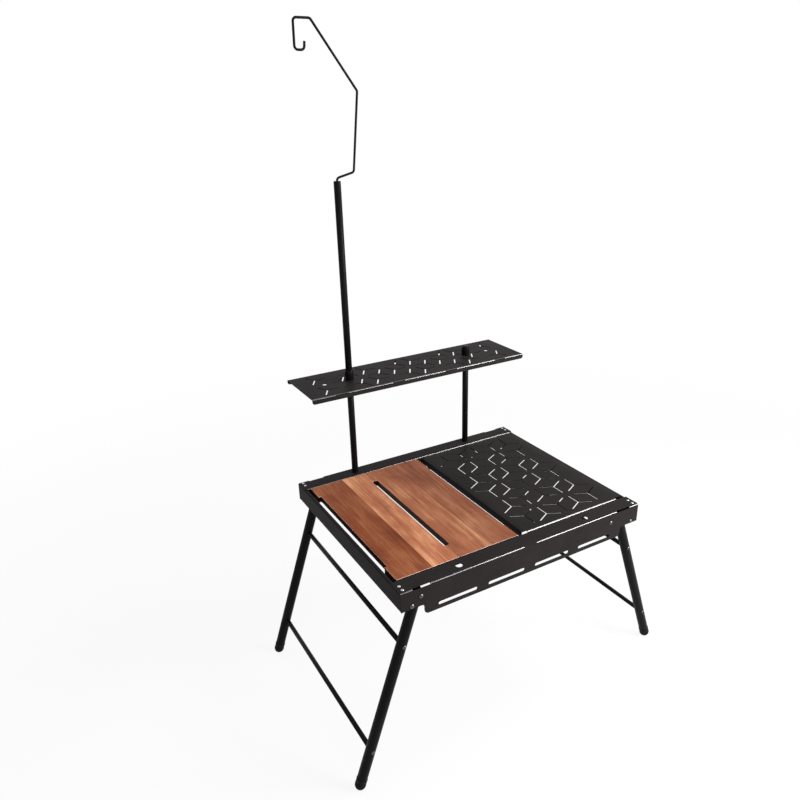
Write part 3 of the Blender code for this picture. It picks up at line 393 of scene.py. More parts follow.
def stand(piece, origin, direction):
    """Puts a shape that was turned about Z on an origin, along a direction."""
    piece.rotation_mode = "QUATERNION"
    piece.rotation_quaternion = Vector(direction).to_track_quat("Z", "Y")
    piece.location = origin
    settle(piece)
    piece.rotation_mode = "XYZ"


def dress(piece, node, slot, *finishes):
    """Makes a finished piece ride on its node's body, stand for the node and wear its materials."""
    marks = [face.material_index for face in piece.data.polygons]
    piece.data.materials.clear()
    for material in finishes:
        piece.data.materials.append(material)
    piece.data.polygons.foreach_set("material_index", marks)
    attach(piece, frame["nodes"][node]["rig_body"])
    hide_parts(node)


def node_middle(node):
    low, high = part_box(node)
    return (low + high) / 2


def dome(radius, height):
    """Rings of a button head: a low rim, then part of a ball up to a small flat at its top."""
    rise = 0.8 * height
    ball = (radius**2 + rise**2) / (2 * rise)
    reach = math.asin(radius / ball)
    rings = [(radius, 0.0)]
    for k in range(DOME_STEPS + 1):
        turn = reach * (1 - 0.94 * k / DOME_STEPS)
        rings.append((ball * math.sin(turn), height - ball * (1 - math.cos(turn))))
    return rings


def rivet_rings(head, height, shank, grip, tail, tail_length):
    """A rivet from its formed end, below, to its domed head; its head sits at height nought."""
    edge = min(0.35 * MM, tail_length * 0.3)
    return [
        (tail - 2 * edge, -grip - tail_length),
        (tail, -grip - tail_length + edge),
        (tail, -grip),
        (shank, -grip),
        (shank, 0),
    ] + dome(head, height)


def leg_facts(side, end):
    """The pivot, the direction up the tube, and the middle and radius of the ball at its foot."""
    pivot = node_middle(f"{side}_{end}_pivot_rivet")
    low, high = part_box(f"{side}_{end}_foot_cap")
    radius = (high.y - low.y) / 2
    ball_x = low.x + radius if side == "left" else high.x - radius
    ball = Vector((ball_x, (low.y + high.y) / 2, low.z + radius))
    pivot.y = ball.y
    return pivot, (pivot - ball).normalized(), ball, radius


def add_upright(name, node, slot, rings, hollow=False):
    """Adds a turned piece in the tube coat that stands on its node's lowest point."""
    piece = turned(name, rings, bpy.context.scene.camping_table_sizes.round_sides, hollow)
    middle = node_middle(node)
    stand(piece, Vector((middle.x, middle.y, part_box(node)[0].z)), (0, 0, 1))
    smooth(piece, 50)
    dress(piece, node, slot, finish("tube_coat_black"))


def add_rail_fastener(model, name, node, end, head_height, degrees):
    """Adds a copy of a fastener with its head outward, at the front or rear end of its node's box."""
    low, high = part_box(node)
    middle = node_middle(node)
    seat_y = low.y + head_height if end == "front" else high.y - head_height
    piece = copy_piece(model, name)
    stand(piece, Vector((middle.x, seat_y, middle.z)), (0, OUTWARD[end], 0))
    smooth(piece, degrees)
    dress(piece, node, "hardware", finish("blackened_hardware"))


# Materials

def add_node(tree, kind, links=None, **settings):
    """Adds a shader node, sets its options, and joins or sets its inputs by name or number."""
    item = tree.nodes.new(kind)
    for name, value in settings.items():
        setattr(item, name, value)
    for socket, value in (links or {}).items():
        if isinstance(value, bpy.types.NodeSocket):
            tree.links.new(value, item.inputs[socket])
        else:
            item.inputs[socket].default_value = value
    return item


def math_node(tree, operation, first, second=0.0, clamp=False):
    item = add_node(tree, "ShaderNodeMath", {0: first, 1: second}, operation=operation, use_clamp=clamp)
    return item.outputs[0]


def vector_sum(tree, first, second):
    return add_node(tree, "ShaderNodeVectorMath", {0: first, 1: second}, operation="ADD").outputs[0]


def weighted(tree, *parts, base=None):
    """The sum of values times their weights, and of a base."""
    total = None
    for value, weight in parts:
        share = math_node(tree, "MULTIPLY", value, weight)
        total = share if total is None else math_node(tree, "ADD", total, share)
    return total if base is None else math_node(tree, "ADD", total, base)


def mask(tree, value, low, high):
    """A mask that rises from nought to one between two values."""
    item = add_node(
        tree,
        "ShaderNodeMapRange",
        {"Value": value, "From Min": low, "From Max": high, "To Min": 0.0, "To Max": 1.0},
        interpolation_type="SMOOTHSTEP",
    )
    return item.outputs[0]


def noise(tree, vector, scale, detail=3.0, roughness=0.5, distortion=0.0):
    item = add_node(
        tree,
        "ShaderNodeTexNoise",
        {"Vector": vector, "Scale": scale, "Detail": detail, "Roughness": roughness, "Distortion": distortion},
    )
    return item.outputs["Fac"]


def blend_colours(tree, factor, first, second, kind="MIX"):
    item = add_node(tree, "ShaderNodeMix", data_type="RGBA", blend_type=kind)
    for socket, value in ((item.inputs[0], factor), (item.inputs[6], first), (item.inputs[7], second)):
        if isinstance(value, bpy.types.NodeSocket):
            tree.links.new(value, socket)
        else:
            socket.default_value = value
    return item.outputs[2]


def effect_group(name, inputs, build):
    """Builds a shader node group once, from (name, type, default) inputs to a colour, a roughness and a height."""
    tree = bpy.data.node_groups.get(name)
    if tree is None:
        tree = bpy.data.node_groups.new(name, "ShaderNodeTree")
        for label, kind, default in inputs:
            socket = tree.interface.new_socket(label, in_out="INPUT", socket_type="NodeSocket" + kind)
            socket.default_value = default
        for label, kind in (("Color", "Color"), ("Roughness", "Float"), ("Height", "Float")):
            tree.interface.new_socket(label, in_out="OUTPUT", socket_type="NodeSocket" + kind)
        build(tree, tree.nodes.new("NodeGroupInput").outputs, tree.nodes.new("NodeGroupOutput").inputs)
    return tree


def effect_material(name, group, inputs, relief, shine, colour, offset=None):
    """A material from one group: values for the group, a relief as (strength, depth) and values for the shader."""
    material = bpy.data.materials.get(name)
    if material is not None:
        return material
    material = bpy.data.materials.new(name)
    material.use_nodes = True
    tree = material.node_tree
    shader = tree.nodes["Principled BSDF"]
    place = add_node(tree, "ShaderNodeTexCoord").outputs["Object"]
    if offset is not None:
        place = add_node(tree, "ShaderNodeMapping", {"Vector": place, "Location": offset}).outputs[0]
    effect = add_node(tree, "ShaderNodeGroup", {"Position": place, **inputs}, node_tree=group)
    strength, depth = relief
    bump = add_node(
        tree, "ShaderNodeBump", {"Height": effect.outputs["Height"], "Strength": strength, "Distance": depth}
    )
    tree.links.new(effect.outputs["Color"], shader.inputs["Base Color"])
    tree.links.new(effect.outputs["Roughness"], shader.inputs["Roughness"])
    tree.links.new(bump.outputs[0], shader.inputs["Normal"])
    for socket, value in shine.items():
        shader.inputs[socket].default_value = value
    material.diffuse_color = (*colour, 1.0)
    return material


def build_coat(tree, given, result):
    """A sprayed or baked coat: orange peel, faint clouding and a little settled dust."""
    place = given["Position"]
    peel = noise(tree, place, given["Peel Scale"], detail=2.0)
    cloud = noise(tree, place, 13.0, roughness=0.6)
    patches = noise(tree, place, 70.0, detail=2.0)
    specks = noise(tree, place, 2600.0, detail=1.0)
    tone = weighted(tree, (cloud, 0.55), (patches, 0.2), base=0.62)
    grey = add_node(tree, "ShaderNodeCombineColor", {0: tone, 1: tone, 2: tone})
    colour = blend_colours(tree, 1.0, given["Coat"], grey.outputs[0], "MULTIPLY")
    dust = math_node(tree, "MULTIPLY", mask(tree, specks, 0.68, 0.78), given["Dust"])
    colour = blend_colours(tree, dust, colour, (0.22, 0.21, 0.20, 1.0))
    cloud, patches = (math_node(tree, "SUBTRACT", value, 0.5) for value in (cloud, patches))
    dull = weighted(tree, (cloud, 0.16), (patches, 0.1))
    tree.links.new(colour, result["Color"])
    tree.links.new(math_node(tree, "ADD", given["Dullness"], dull, clamp=True), result["Roughness"])
    tree.links.new(peel, result["Height"])


def finish(name):
    """A coat on metal, nylon or rubber, all from one group with the values in FINISHES."""
    values = FINISHES[name]
    colour = getattr(bpy.context.scene.camping_table_colours, values.colour)
    group = effect_group(
        "baked_coat",
        (
            ("Position", "Vector", (0.0, 0.0, 0.0)),
            ("Coat", "Color", (0.02, 0.02, 0.02, 1.0)),
            ("Dullness", "Float", 0.45),
            ("Peel Scale", "Float", 900.0),
            ("Dust", "Float", 0.1),
        ),
        build_coat,
    )
    inputs = {
        "Coat": (*colour, 1.0),
        "Dullness": values.dullness,
        "Peel Scale": values.peel_scale,
        "Dust": values.dust,
    }
    shine = {"Specular IOR Level": values.gloss, "IOR": values.index, "Metallic": values.metallic}
    return effect_material(name, group, inputs, (values.peel_depth, 0.15 * MM), shine, colour)


def build_acacia(tree, given, result):
    """Acacia that is glued from two staves: figure, streaks, fibres and pores along Y, and a pale painted highlight
    for eased edges.
    """
    place = given["Position"]
    split = add_node(tree, "ShaderNodeSeparateXYZ", {0: place})
    from_seam = math_node(tree, "SUBTRACT", split.outputs["X"], given["Seam X"])
    second = math_node(tree, "GREATER_THAN", from_seam, 0.0)
    shift = add_node(
        tree,
        "ShaderNodeCombineXYZ",
        {0: math_node(tree, "MULTIPLY", second, 0.37), 1: math_node(tree, "MULTIPLY", second, 0.71), 2: second},
    )
    moved = vector_sum(tree, place, shift.outputs[0])
    sway = math_node(tree, "SUBTRACT", noise(tree, moved, 6.5, detail=2.0), 0.5)
    sway = math_node(tree, "MULTIPLY", sway, 0.011)
    bent = vector_sum(tree, moved, add_node(tree, "ShaderNodeCombineXYZ", {0: sway}).outputs[0])

    def grain(stretch, scale, detail=3.0, roughness=0.6, distortion=0.0):
        item = add_node(tree, "ShaderNodeMapping", {"Vector": bent, "Scale": (1.0, stretch, 1.0)})
        return noise(tree, item.outputs[0], scale, detail, roughness, distortion)

    broad = grain(0.07, 40.0, roughness=0.55, distortion=0.2)
    streaks = grain(0.03, 270.0, detail=5.0)
    fibres = grain(0.02, 900.0)
    pores = grain(0.035, 1500.0, detail=1.0, roughness=0.5)
    heart = grain(0.05, 34.0, detail=4.0, roughness=0.55, distortion=0.4)
    ripple = grain(0.42, 62.0, distortion=0.8)
    clouds = grain(0.5, 15.0, detail=2.0, roughness=0.5)

    level = weighted(tree, (broad, 0.22), (streaks, 0.30), (fibres, 0.24), (ripple, 0.14), (clouds, 0.40))
    ramp = add_node(tree, "ShaderNodeValToRGB", {0: mask(tree, level, 0.43, 0.89)})
    stops = ramp.color_ramp.elements
    stops[0].position, stops[0].color = 0.0, (0.16, 0.16, 0.16, 1.0)
    stops[1].position, stops[1].color = 1.0, WHITE
    figure = add_node(tree, "ShaderNodeSeparateColor", {0: ramp.outputs[0]}).outputs[0]
    pore_mask = mask(tree, pores, 0.60, 0.70)
    seam = mask(tree, math_node(tree, "ABSOLUTE", from_seam), 0.12 * MM, 0.5 * MM)
    seam = math_node(tree, "SUBTRACT", 1.0, seam)

    def darken(colour, where, share):
        return blend_colours(tree, math_node(tree, "MULTIPLY", where, share), colour, given["Dark"])

    colour = blend_colours(tree, mask(tree, figure, 0.0, 0.55), given["Dark"], given["Middle"])
    colour = blend_colours(tree, mask(tree, figure, 0.45, 1.0), colour, given["Light"])
    colour = darken(colour, mask(tree, heart, 0.60, 0.74), given["Heart Streaks"])
    colour = darken(colour, pore_mask, 0.28)
    tint = blend_colours(tree, second, given["First Tint"], given["Second Tint"])
    colour = darken(blend_colours(tree, 1.0, colour, tint, "MULTIPLY"), seam, 0.2)
    # Painted highlight: a pale pink blended over the colour on the eased edges
    colour = blend_colours(tree, given["Worn"], colour, (0.80, 0.52, 0.42, 1.0))
    tree.links.new(colour, result["Color"])
    tree.links.new(weighted(tree, (streaks, 0.18), (pore_mask, 0.12), base=0.36), result["Roughness"])
    height = weighted(tree, (fibres, 0.5), (streaks, 0.35), (pore_mask, -0.4), (seam, -0.8))
    tree.links.new(height, result["Height"])


def acacia_material(name, look, tints, edge_highlight=0.0, index=1.12):
    colours = bpy.context.scene.camping_table_colours
    group = effect_group(
        "acacia_staves",
        (
            ("Position", "Vector", (0.0, 0.0, 0.0)),
            ("Seam X", "Float", 0.0),
            ("Dark", "Color", WHITE),
            ("Middle", "Color", WHITE),
            ("Light", "Color", WHITE),
            ("First Tint", "Color", WHITE),
            ("Second Tint", "Color", WHITE),
            ("Heart Streaks", "Float", 0.5),
            ("Worn", "Float", 0.0),
        ),
        build_acacia,
    )
    inputs = {
        "Seam X": look.seam_x + look.offset[0],
        "Dark": (*colours.wood_dark, 1.0),
        "Middle": (*colours.wood_middle, 1.0),
        "Light": (*colours.wood_light, 1.0),
        "First Tint": (*tints[0], 1.0),
        "Second Tint": (*tints[1], 1.0),
        "Heart Streaks": look.heart,
        "Worn": edge_highlight,
    }
    relief = (0.35, 0.12 * MM)
    return effect_material(name, group, inputs, relief, {"IOR": index}, colours.wood_middle, look.offset)


# Pieces

def add_sheet(name, node, least_front):
    """Adds a bent sheet with its pierced faces split, its cut edges rounded and a painted highlight on its bends."""
    piece = node_copy(name, node)
    with editing(piece, "FACE"):
        bpy.ops.mesh.select_face_by_sides(number=12, type="GREATER")
        bpy.ops.mesh.quads_convert_to_tris(quad_method="BEAUTY", ngon_method="BEAUTY")
    round_edges(piece, bpy.context.scene.camping_table_sizes.sheet_edge, 2, 50)
    smooth(piece, 38)
    weigh_normals(piece)
    mark_bends(piece, least_front)
    dress(piece, node, "frame_coat", finish("sheet_coat"), finish("rubbed_bend"))


def mark_bends(piece, least_front):
    """Gives the bends that turn from the front to the top bright metal as a painted highlight, and the rest the coat.
    """
    corners = piece.data.vertices
    for face in piece.data.polygons:
        along = [corners[k].co.x for k in face.vertices]
        wide = face.area > 0.5 * MM * (max(along) - min(along))
        lit = face.normal.y < -least_front and face.normal.z > 0.35 and abs(face.normal.x) < 0.1
        face.material_index = 1 if lit and wide else 0


class TABLE_OT_sheet_rails(bpy.types.Operator):
    """The four rails of bent sheet, with their bends and cut edges finished"""

    bl_idname = "camping_table.sheet_rails"
    bl_label = "Sheet rails"

    def execute(self, context):
        for node in ("front_rail", "rear_rail", "left_end_rail", "right_end_rail"):
            add_sheet(node + "_sheet", node, RAIL_HIGHLIGHT_TURN)
        return {"FINISHED"}


class TABLE_OT_slotted_plate(bpy.types.Operator):
    """The slotted steel plate, with its turned-down edges"""

    bl_idname = "camping_table.slotted_plate"
    bl_label = "Slotted plate"

    def execute(self, context):
        add_sheet("slotted_plate", "right_steel_plate", PLATE_HIGHLIGHT_TURN)
        return {"FINISHED"}


class TABLE_OT_tower_shelf(bpy.types.Operator):
    """The tower's slotted shelf, with its front and rear lips"""

    bl_idname = "camping_table.tower_shelf"
    bl_label = "Tower shelf"

    def execute(self, context):
        add_sheet("slotted_shelf", "tower_shelf", PLATE_HIGHLIGHT_TURN)
        return {"FINISHED"}


class TABLE_OT_wood_boards(bpy.types.Operator):
    """The two acacia boards, each glued from two staves, with cut sides darkened nearly to black"""

    bl_idname = "camping_table.wood_boards"
    bl_label = "Wood boards"

    def execute(self, context):
        for board, look in BOARD_LOOKS.items():
            node = board + "_wood_panel"
            name = board + "_acacia"
            piece = node_copy(name + "_board", node)
            round_edges(piece, context.scene.camping_table_sizes.wood_edge, 2, 30)
            smooth(piece, 50)
            weigh_normals(piece)
            mark_board(piece)
            # The cut sides are darkened to a small share of the face tint
            cut_side_tint = tuple(CUT_SIDE_SHARE * value for value in look.tints[0])
            flat = acacia_material(name + "_face", look, look.tints)
            # The eased edges of the board's ends get a paler, glossier painted highlight
            edge = acacia_material(name + "_edge", look, look.tints, edge_highlight=0.80, index=1.5)
            side = acacia_material(name + "_cut", look, (cut_side_tint, cut_side_tint))
            dress(piece, node, name, flat, edge, side)
        return {"FINISHED"}


def mark_board(piece):
    """Marks a board's faces: 2 for its cut sides, 1 for the eased edges of its ends, which carry a painted highlight,
    and 0 for the rest.
    """
    for face in piece.data.polygons:
        level = abs(face.normal.z)
        if level < 0.15:
            face.material_index = 2
        elif level < 0.985 and abs(face.normal.x) <= 0.3:
            face.material_index = 1
        else:
            face.material_index = 0


class TABLE_OT_leg_tubes(bpy.types.Operator):
    """The four leg tubes, open at the foot and rounded at the pivot"""

    bl_idname = "camping_table.leg_tubes"
    bl_label = "Leg tubes"

    def execute(self, context):
        sizes = context.scene.camping_table_sizes
        for side, end in product(SIDES, ENDS):
            node = f"{side}_{end}_leg_tube"
            pivot, up, ball, _ = leg_facts(side, end)
            low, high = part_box(node)
            radius = (high.y - low.y) / 2
            foot = ball + up * GAP
            head = pivot + up * (sizes.tube_end + 1.0 * MM)
            bpy.ops.object.select_all(action="DESELECT")
            bpy.ops.mesh.primitive_cylinder_add(
                vertices=sizes.round_sides, radius=radius, depth=(head - foot).length, end_fill_type="NOTHING"
            )
            tube = context.object
            tube.name = tube.data.name = f"{side}_{end}_tube"
            stand(tube, (foot + head) / 2, up)
            add_modifier(tube, "SOLIDIFY", thickness=sizes.tube_wall, offset=-1.0)
            cut(tube, tube_end(pivot, up, sizes.tube_end, 4 * radius), "INTERSECT")
            smooth(tube, 40)
            dress(tube, node, "tube_coat", finish("tube_coat_black"))
        return {"FINISHED"}


def tube_end(pivot, up, radius, width):
    """A cylinder across the pivot, with its lower half drawn down past the leg's foot."""
    bpy.ops.object.select_all(action="DESELECT")
    bpy.ops.mesh.primitive_cylinder_add(
        vertices=TUBE_END_SIDES, radius=radius, depth=width, location=pivot, rotation=(math.pi / 2, 0, 0)
    )
    piece = bpy.context.object
    settle(piece)
    past_foot = 0.6
    for vertex in piece.data.vertices:
        if (vertex.co - pivot).dot(up) < 0:
            vertex.co -= up * past_foot
    return piece


class TABLE_OT_foot_caps(bpy.types.Operator):
    """The four rubber caps with ball-shaped tips"""

    bl_idname = "camping_table.foot_caps"
    bl_label = "Foot caps"

    def execute(self, context):
        sizes = context.scene.camping_table_sizes
        sleeve = sizes.cap_sleeve
        for side, end in product(SIDES, ENDS):
            _, up, ball, tip = leg_facts(side, end)
            # Room for the left upper rod when both frames are folded
            radius = tip - 0.2 * MM
            groove = radius - 0.3 * MM
            rings = [(CAP_BORE_R, 0.0), (CAP_BORE_R, sleeve), (radius - 0.2 * MM, sleeve), (radius, sleeve - 0.3 * MM)]
            rings += [(radius, sleeve - 2.0 * MM), (groove, sleeve - 2.5 * MM)]
            rings += [(groove, 1.5 * MM), (radius, 0.6 * MM), (radius, 0.0)]
            for k in range(1, BALL_STEPS + 1):
                turn = math.radians(88) * k / BALL_STEPS
                rings.append((radius * math.cos(turn), -tip * math.sin(turn)))
            cap = turned(f"{side}_{end}_rubber_foot", rings, sizes.round_sides)
            stand(cap, ball, up)
            smooth(cap, 40)
            dress(cap, f"{side}_{end}_foot_cap", "foot_rubber", finish("foot_rubber_black"))
        return {"FINISHED"}


class TABLE_OT_cross_rods(bpy.types.Operator):
    """The four rods across the leg frames"""

    bl_idname = "camping_table.cross_rods"
    bl_label = "Cross rods"

    def execute(self, context):
        edge = 0.4 * MM
        for side, level in product(SIDES, LEVELS):
            node = f"{side}_{level}_cross_rod"
            low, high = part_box(node)
            middle = node_middle(node)
            radius, length = (high.x - low.x) / 2, high.y - low.y
            rings = [(radius - edge, 0.0), (radius, edge), (radius, length - edge), (radius - edge, length)]
            rod = turned(f"{side}_{level}_rod", rings, FASTENER_SIDES)
            stand(rod, Vector((middle.x, low.y, middle.z)), (0, 1, 0))
            smooth(rod, 50)
            dress(rod, node, "tube_coat", finish("tube_coat_black"))
        return {"FINISHED"}


class TABLE_OT_rod_screws(bpy.types.Operator):
    """The eight button-head screws that hold the rods"""

    bl_idname = "camping_table.rod_screws"
    bl_label = "Rod screws"

    def execute(self, context):
        sizes = context.scene.camping_table_sizes
        shank, edge = sizes.screw_shank, 0.4 * MM
        low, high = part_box("left_front_upper_rod_screw")
        length = high.y - low.y - sizes.screw_head
        rings = [(shank - edge, -length), (shank, -length + edge), (shank, 0.0)]
        rings += dome((high.x - low.x) / 2, sizes.screw_head)
        model = turned("rod_screw_model", rings, FASTENER_SIDES)
        bpy.ops.object.select_all(action="DESELECT")
        bpy.ops.mesh.primitive_cylinder_add(
            vertices=6, radius=sizes.screw_socket, depth=SCREW_SOCKET_DEPTH, location=(0, 0, sizes.screw_head)
        )
        socket = context.object
        settle(socket)
        cut(model, socket, "DIFFERENCE")
        for side, end, level in product(SIDES, ENDS, LEVELS):
            name = f"{side}_{end}_{level}"
            add_rail_fastener(model, name + "_screw", name + "_rod_screw", end, sizes.screw_head, 35)
        bpy.data.objects.remove(model)
        return {"FINISHED"}


class TABLE_OT_rail_rivets(bpy.types.Operator):
    """The pivot rivets, the leg stops and the fold rests, with domed heads on the long rails"""

    bl_idname = "camping_table.rail_rivets"
    bl_label = "Rail rivets"

    def execute(self, context):
        sizes = context.scene.camping_table_sizes
        head, height = sizes.rivet_head, sizes.rivet_dome
        for side, name in (
            ("left", "pivot_rivet"),
            ("right", "pivot_rivet"),
            ("left", "leg_stop"),
            ("right", "fold_stop"),
        ):
            low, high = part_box(f"{side}_front_{name}")
            reach = high.y - low.y - height
            if name == "pivot_rivet":
                shank, tail, tail_length = sizes.rivet_shank, sizes.rivet_tail, sizes.rivet_tail_length
            else:
                shank, tail, tail_length = sizes.stop_shank, STOP_PIN_R[name], reach - STOP_GRIP
            rings = rivet_rings(head, height, shank, reach - tail_length, tail, tail_length)
            model = turned(f"{side}_{name}_model", rings, RIVET_SIDES)
            for end in ENDS:
                node = f"{side}_{end}_{name}"
                add_rail_fastener(model, node + "_dome", node, end, height, 40)
            bpy.data.objects.remove(model)
        return {"FINISHED"}


class TABLE_OT_corner_rivets(bpy.types.Operator):
    """The eight small rivets at the frame's corners"""

    bl_idname = "camping_table.corner_rivets"
    bl_label = "Corner rivets"

    def execute(self, context):
        sizes = context.scene.camping_table_sizes
        low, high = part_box("left_front_outer_corner_rivet")
        head = (high.x - low.x) / 2
        grip = high.z - low.z - sizes.corner_dome - CORNER_RIVET_TAIL
        rings = rivet_rings(head, sizes.corner_dome, sizes.corner_shank, grip, head * 0.9, CORNER_RIVET_TAIL)
        model = turned("corner_rivet_model", rings, FASTENER_SIDES)
        for side, end, place in product(SIDES, ENDS, ("outer", "inner")):
            node = f"{side}_{end}_{place}_corner_rivet"
            middle = node_middle(node)
            rivet = copy_piece(model, f"{side}_{end}_{place}_rivet")
            stand(rivet, Vector((middle.x, middle.y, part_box(node)[1].z - sizes.corner_dome)), (0, 0, 1))
            smooth(rivet, 40)
            dress(rivet, node, "hardware", finish("rivet_steel"))
        bpy.data.objects.remove(model)
        return {"FINISHED"}


class TABLE_OT_tower_poles(bpy.types.Operator):
    """The two lower poles and the upper pole, with their shoulders, studs and spigots"""

    bl_idname = "camping_table.tower_poles"
    bl_label = "Tower poles"

    def execute(self, context):
        edge = 0.5 * MM
        flange_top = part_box("rear_rail")[1].z
        shelf_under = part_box("tower_shelf")[1].z - SHEET
        for side in SIDES:
            node = side + "_lower_pole"
            low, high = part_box(node)
            radius, total = (high.x - low.x) / 2, high.z - low.z
            shoulder = flange_top + GAP - low.z
            top = shelf_under - GAP - low.z
            rings = [(SPIGOT_R - TIP_TAPER, 0.0), (SPIGOT_R, TIP_TAPER), (SPIGOT_R, shoulder)]
            rings += [(radius - edge, shoulder), (radius, shoulder + edge), (radius, top - edge), (radius - edge, top)]
            rings += [(STUD_R, top), (STUD_R, total - TIP_TAPER), (STUD_R - TIP_TAPER, total)]
            add_upright(side + "_shelf_pole", node, "tube_coat", rings)

        low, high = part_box("upper_pole")
        radius, total = (high.x - low.x) / 2, high.z - low.z
        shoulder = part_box("left_shelf_nut")[1].z + GAP - low.z
        rings = [(STUD_R - TIP_TAPER, 0.0), (STUD_R, TIP_TAPER), (STUD_R, shoulder)]
        rings += [(radius - edge, shoulder), (radius, shoulder + edge)]
        rings += [(radius, total - 0.8 * MM), (radius - 0.8 * MM, total)]
        rings += [(HOOK_SOCKET_R + 0.3 * MM, total), (HOOK_SOCKET_R, total - 0.3 * MM)]
        rings += [(HOOK_SOCKET_R, total - HOOK_SOCKET)]
        add_upright("lantern_pole_tube", "upper_pole", "tube_coat", rings)
        return {"FINISHED"}


class TABLE_OT_shelf_nuts(bpy.types.Operator):
    """The two tall round nuts that clamp the shelf"""

    bl_idname = "camping_table.shelf_nuts"
    bl_label = "Shelf nuts"

    def execute(self, context):
        edge, foot_edge = 1.0 * MM, 0.4 * MM
        for side in SIDES:
            node = side + "_shelf_nut"
            low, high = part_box(node)
            radius, height = (high.x - low.x) / 2, high.z - low.z
            through = side == "left"
            rings = [(NUT_BORE_R, 0.0), (radius - foot_edge, 0.0), (radius, foot_edge), (radius, height - edge)]
            rings += [(radius - 0.3 * edge, height - 0.3 * edge), (radius - edge, height)]
            if through:
                rings += [(NUT_BORE_R + 0.5 * MM, height), (NUT_BORE_R, height - 0.5 * MM)]
            else:
                rings = [(NUT_BORE_R, BLIND_BORE)] + rings + [(0.5 * MM, height)]
            add_upright(side + "_tall_nut", node, "hardware", rings, hollow=through)
        return {"FINISHED"}


class TABLE_OT_lantern_hook(bpy.types.Operator):
    """The bent wire hook for a lantern"""

    bl_idname = "camping_table.lantern_hook"
    bl_label = "Lantern hook"

    def execute(self, context):
        low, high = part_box("lantern_hook")
        pole_low, pole_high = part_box("upper_pole")
        axis_x, y = (pole_low.x + pole_high.x) / 2, (low.y + high.y) / 2
        corners = [Vector((axis_x + x * MM, 0, pole_high.z + z * MM)) for x, z in HOOK_CORNERS]
        route = [corners[0]]
        for before, corner, after in zip(corners, corners[1:], corners[2:]):
            route += fillet(before, corner, after, context.scene.camping_table_sizes.hook_bend, HOOK_BEND_STEPS)
        route.append(corners[-1])
        bpy.ops.object.select_all(action="DESELECT")
        bpy.ops.curve.primitive_nurbs_path_add(location=(0, 0, 0))
        wire = context.object
        wire.name = wire.data.name = "lantern_hook_wire"
        wire.data.splines.clear()
        spline = wire.data.splines.new("POLY")
        spline.points.add(len(route) - 1)
        for point, spot in zip(spline.points, route):
            point.co = (spot.x, y, spot.z, 1.0)
        wire.data.bevel_depth = (high.y - low.y) / 2
        wire.data.bevel_resolution = 6
        wire.data.use_fill_caps = True
        only(wire)
        bpy.ops.object.convert(target="MESH")
        wire = context.object
        with editing(wire):
            bpy.ops.mesh.select_all(action="SELECT")
            bpy.ops.mesh.remove_doubles(threshold=WELD)
            bpy.ops.mesh.normals_make_consistent(inside=False)
        round_edges(wire, 0.5 * MM, 3, 60)
        settle(wire)
        smooth(wire, 50)
        dress(wire, "lantern_hook", "tube_coat", finish("tube_coat_black"))
        return {"FINISHED"}


def fillet(before, corner, after, radius, steps):
    """Points of an arc that rounds a corner between two straight runs."""
    back, on = (before - corner).normalized(), (after - corner).normalized()
    half = back.angle(on) / 2
    reach = min(radius / math.tan(half), 0.48 * (before - corner).length, 0.48 * (after - corner).length)
    radius = reach * math.tan(half)
    middle = corner + (back + on).normalized() * (radius / math.sin(half))
    start, end = corner + back * reach - middle, corner + on * reach - middle
    sweep = start.angle(end)
    axis = start.cross(end).normalized()
    return [middle + Matrix.Rotation(sweep * k / steps, 3, axis) @ start for k in range(steps + 1)]


class TABLE_OT_inner_fittings(bpy.types.Operator):
    """Finishes on the small fittings under the frame, which keep the solids' shape"""

    bl_idname = "camping_table.inner_fittings"
    bl_label = "Inner fittings"

    def execute(self, context):
        looks = {side + "_rear_socket_insert": "blackened_hardware" for side in SIDES}
        for end in ENDS:
            looks[f"left_{end}_pivot_washer"] = looks[f"right_{end}_pivot_sleeve"] = "black_nylon"
        for node, look in looks.items():
            mesh = frame["nodes"][node].data
            mesh.materials.clear()
            mesh.materials.append(finish(look))
        return {"FINISHED"}


# Stage

def white_rays(tree):
    """One for the rays that should meet plain white, straight or in a gloss."""
    path = tree.nodes.new("ShaderNodeLightPath")
    seen = math_node(tree, "MAXIMUM", path.outputs["Is Camera Ray"], path.outputs["Is Glossy Ray"])
    return math_node(tree, "MAXIMUM", seen, path.outputs["Is Transmission Ray"])


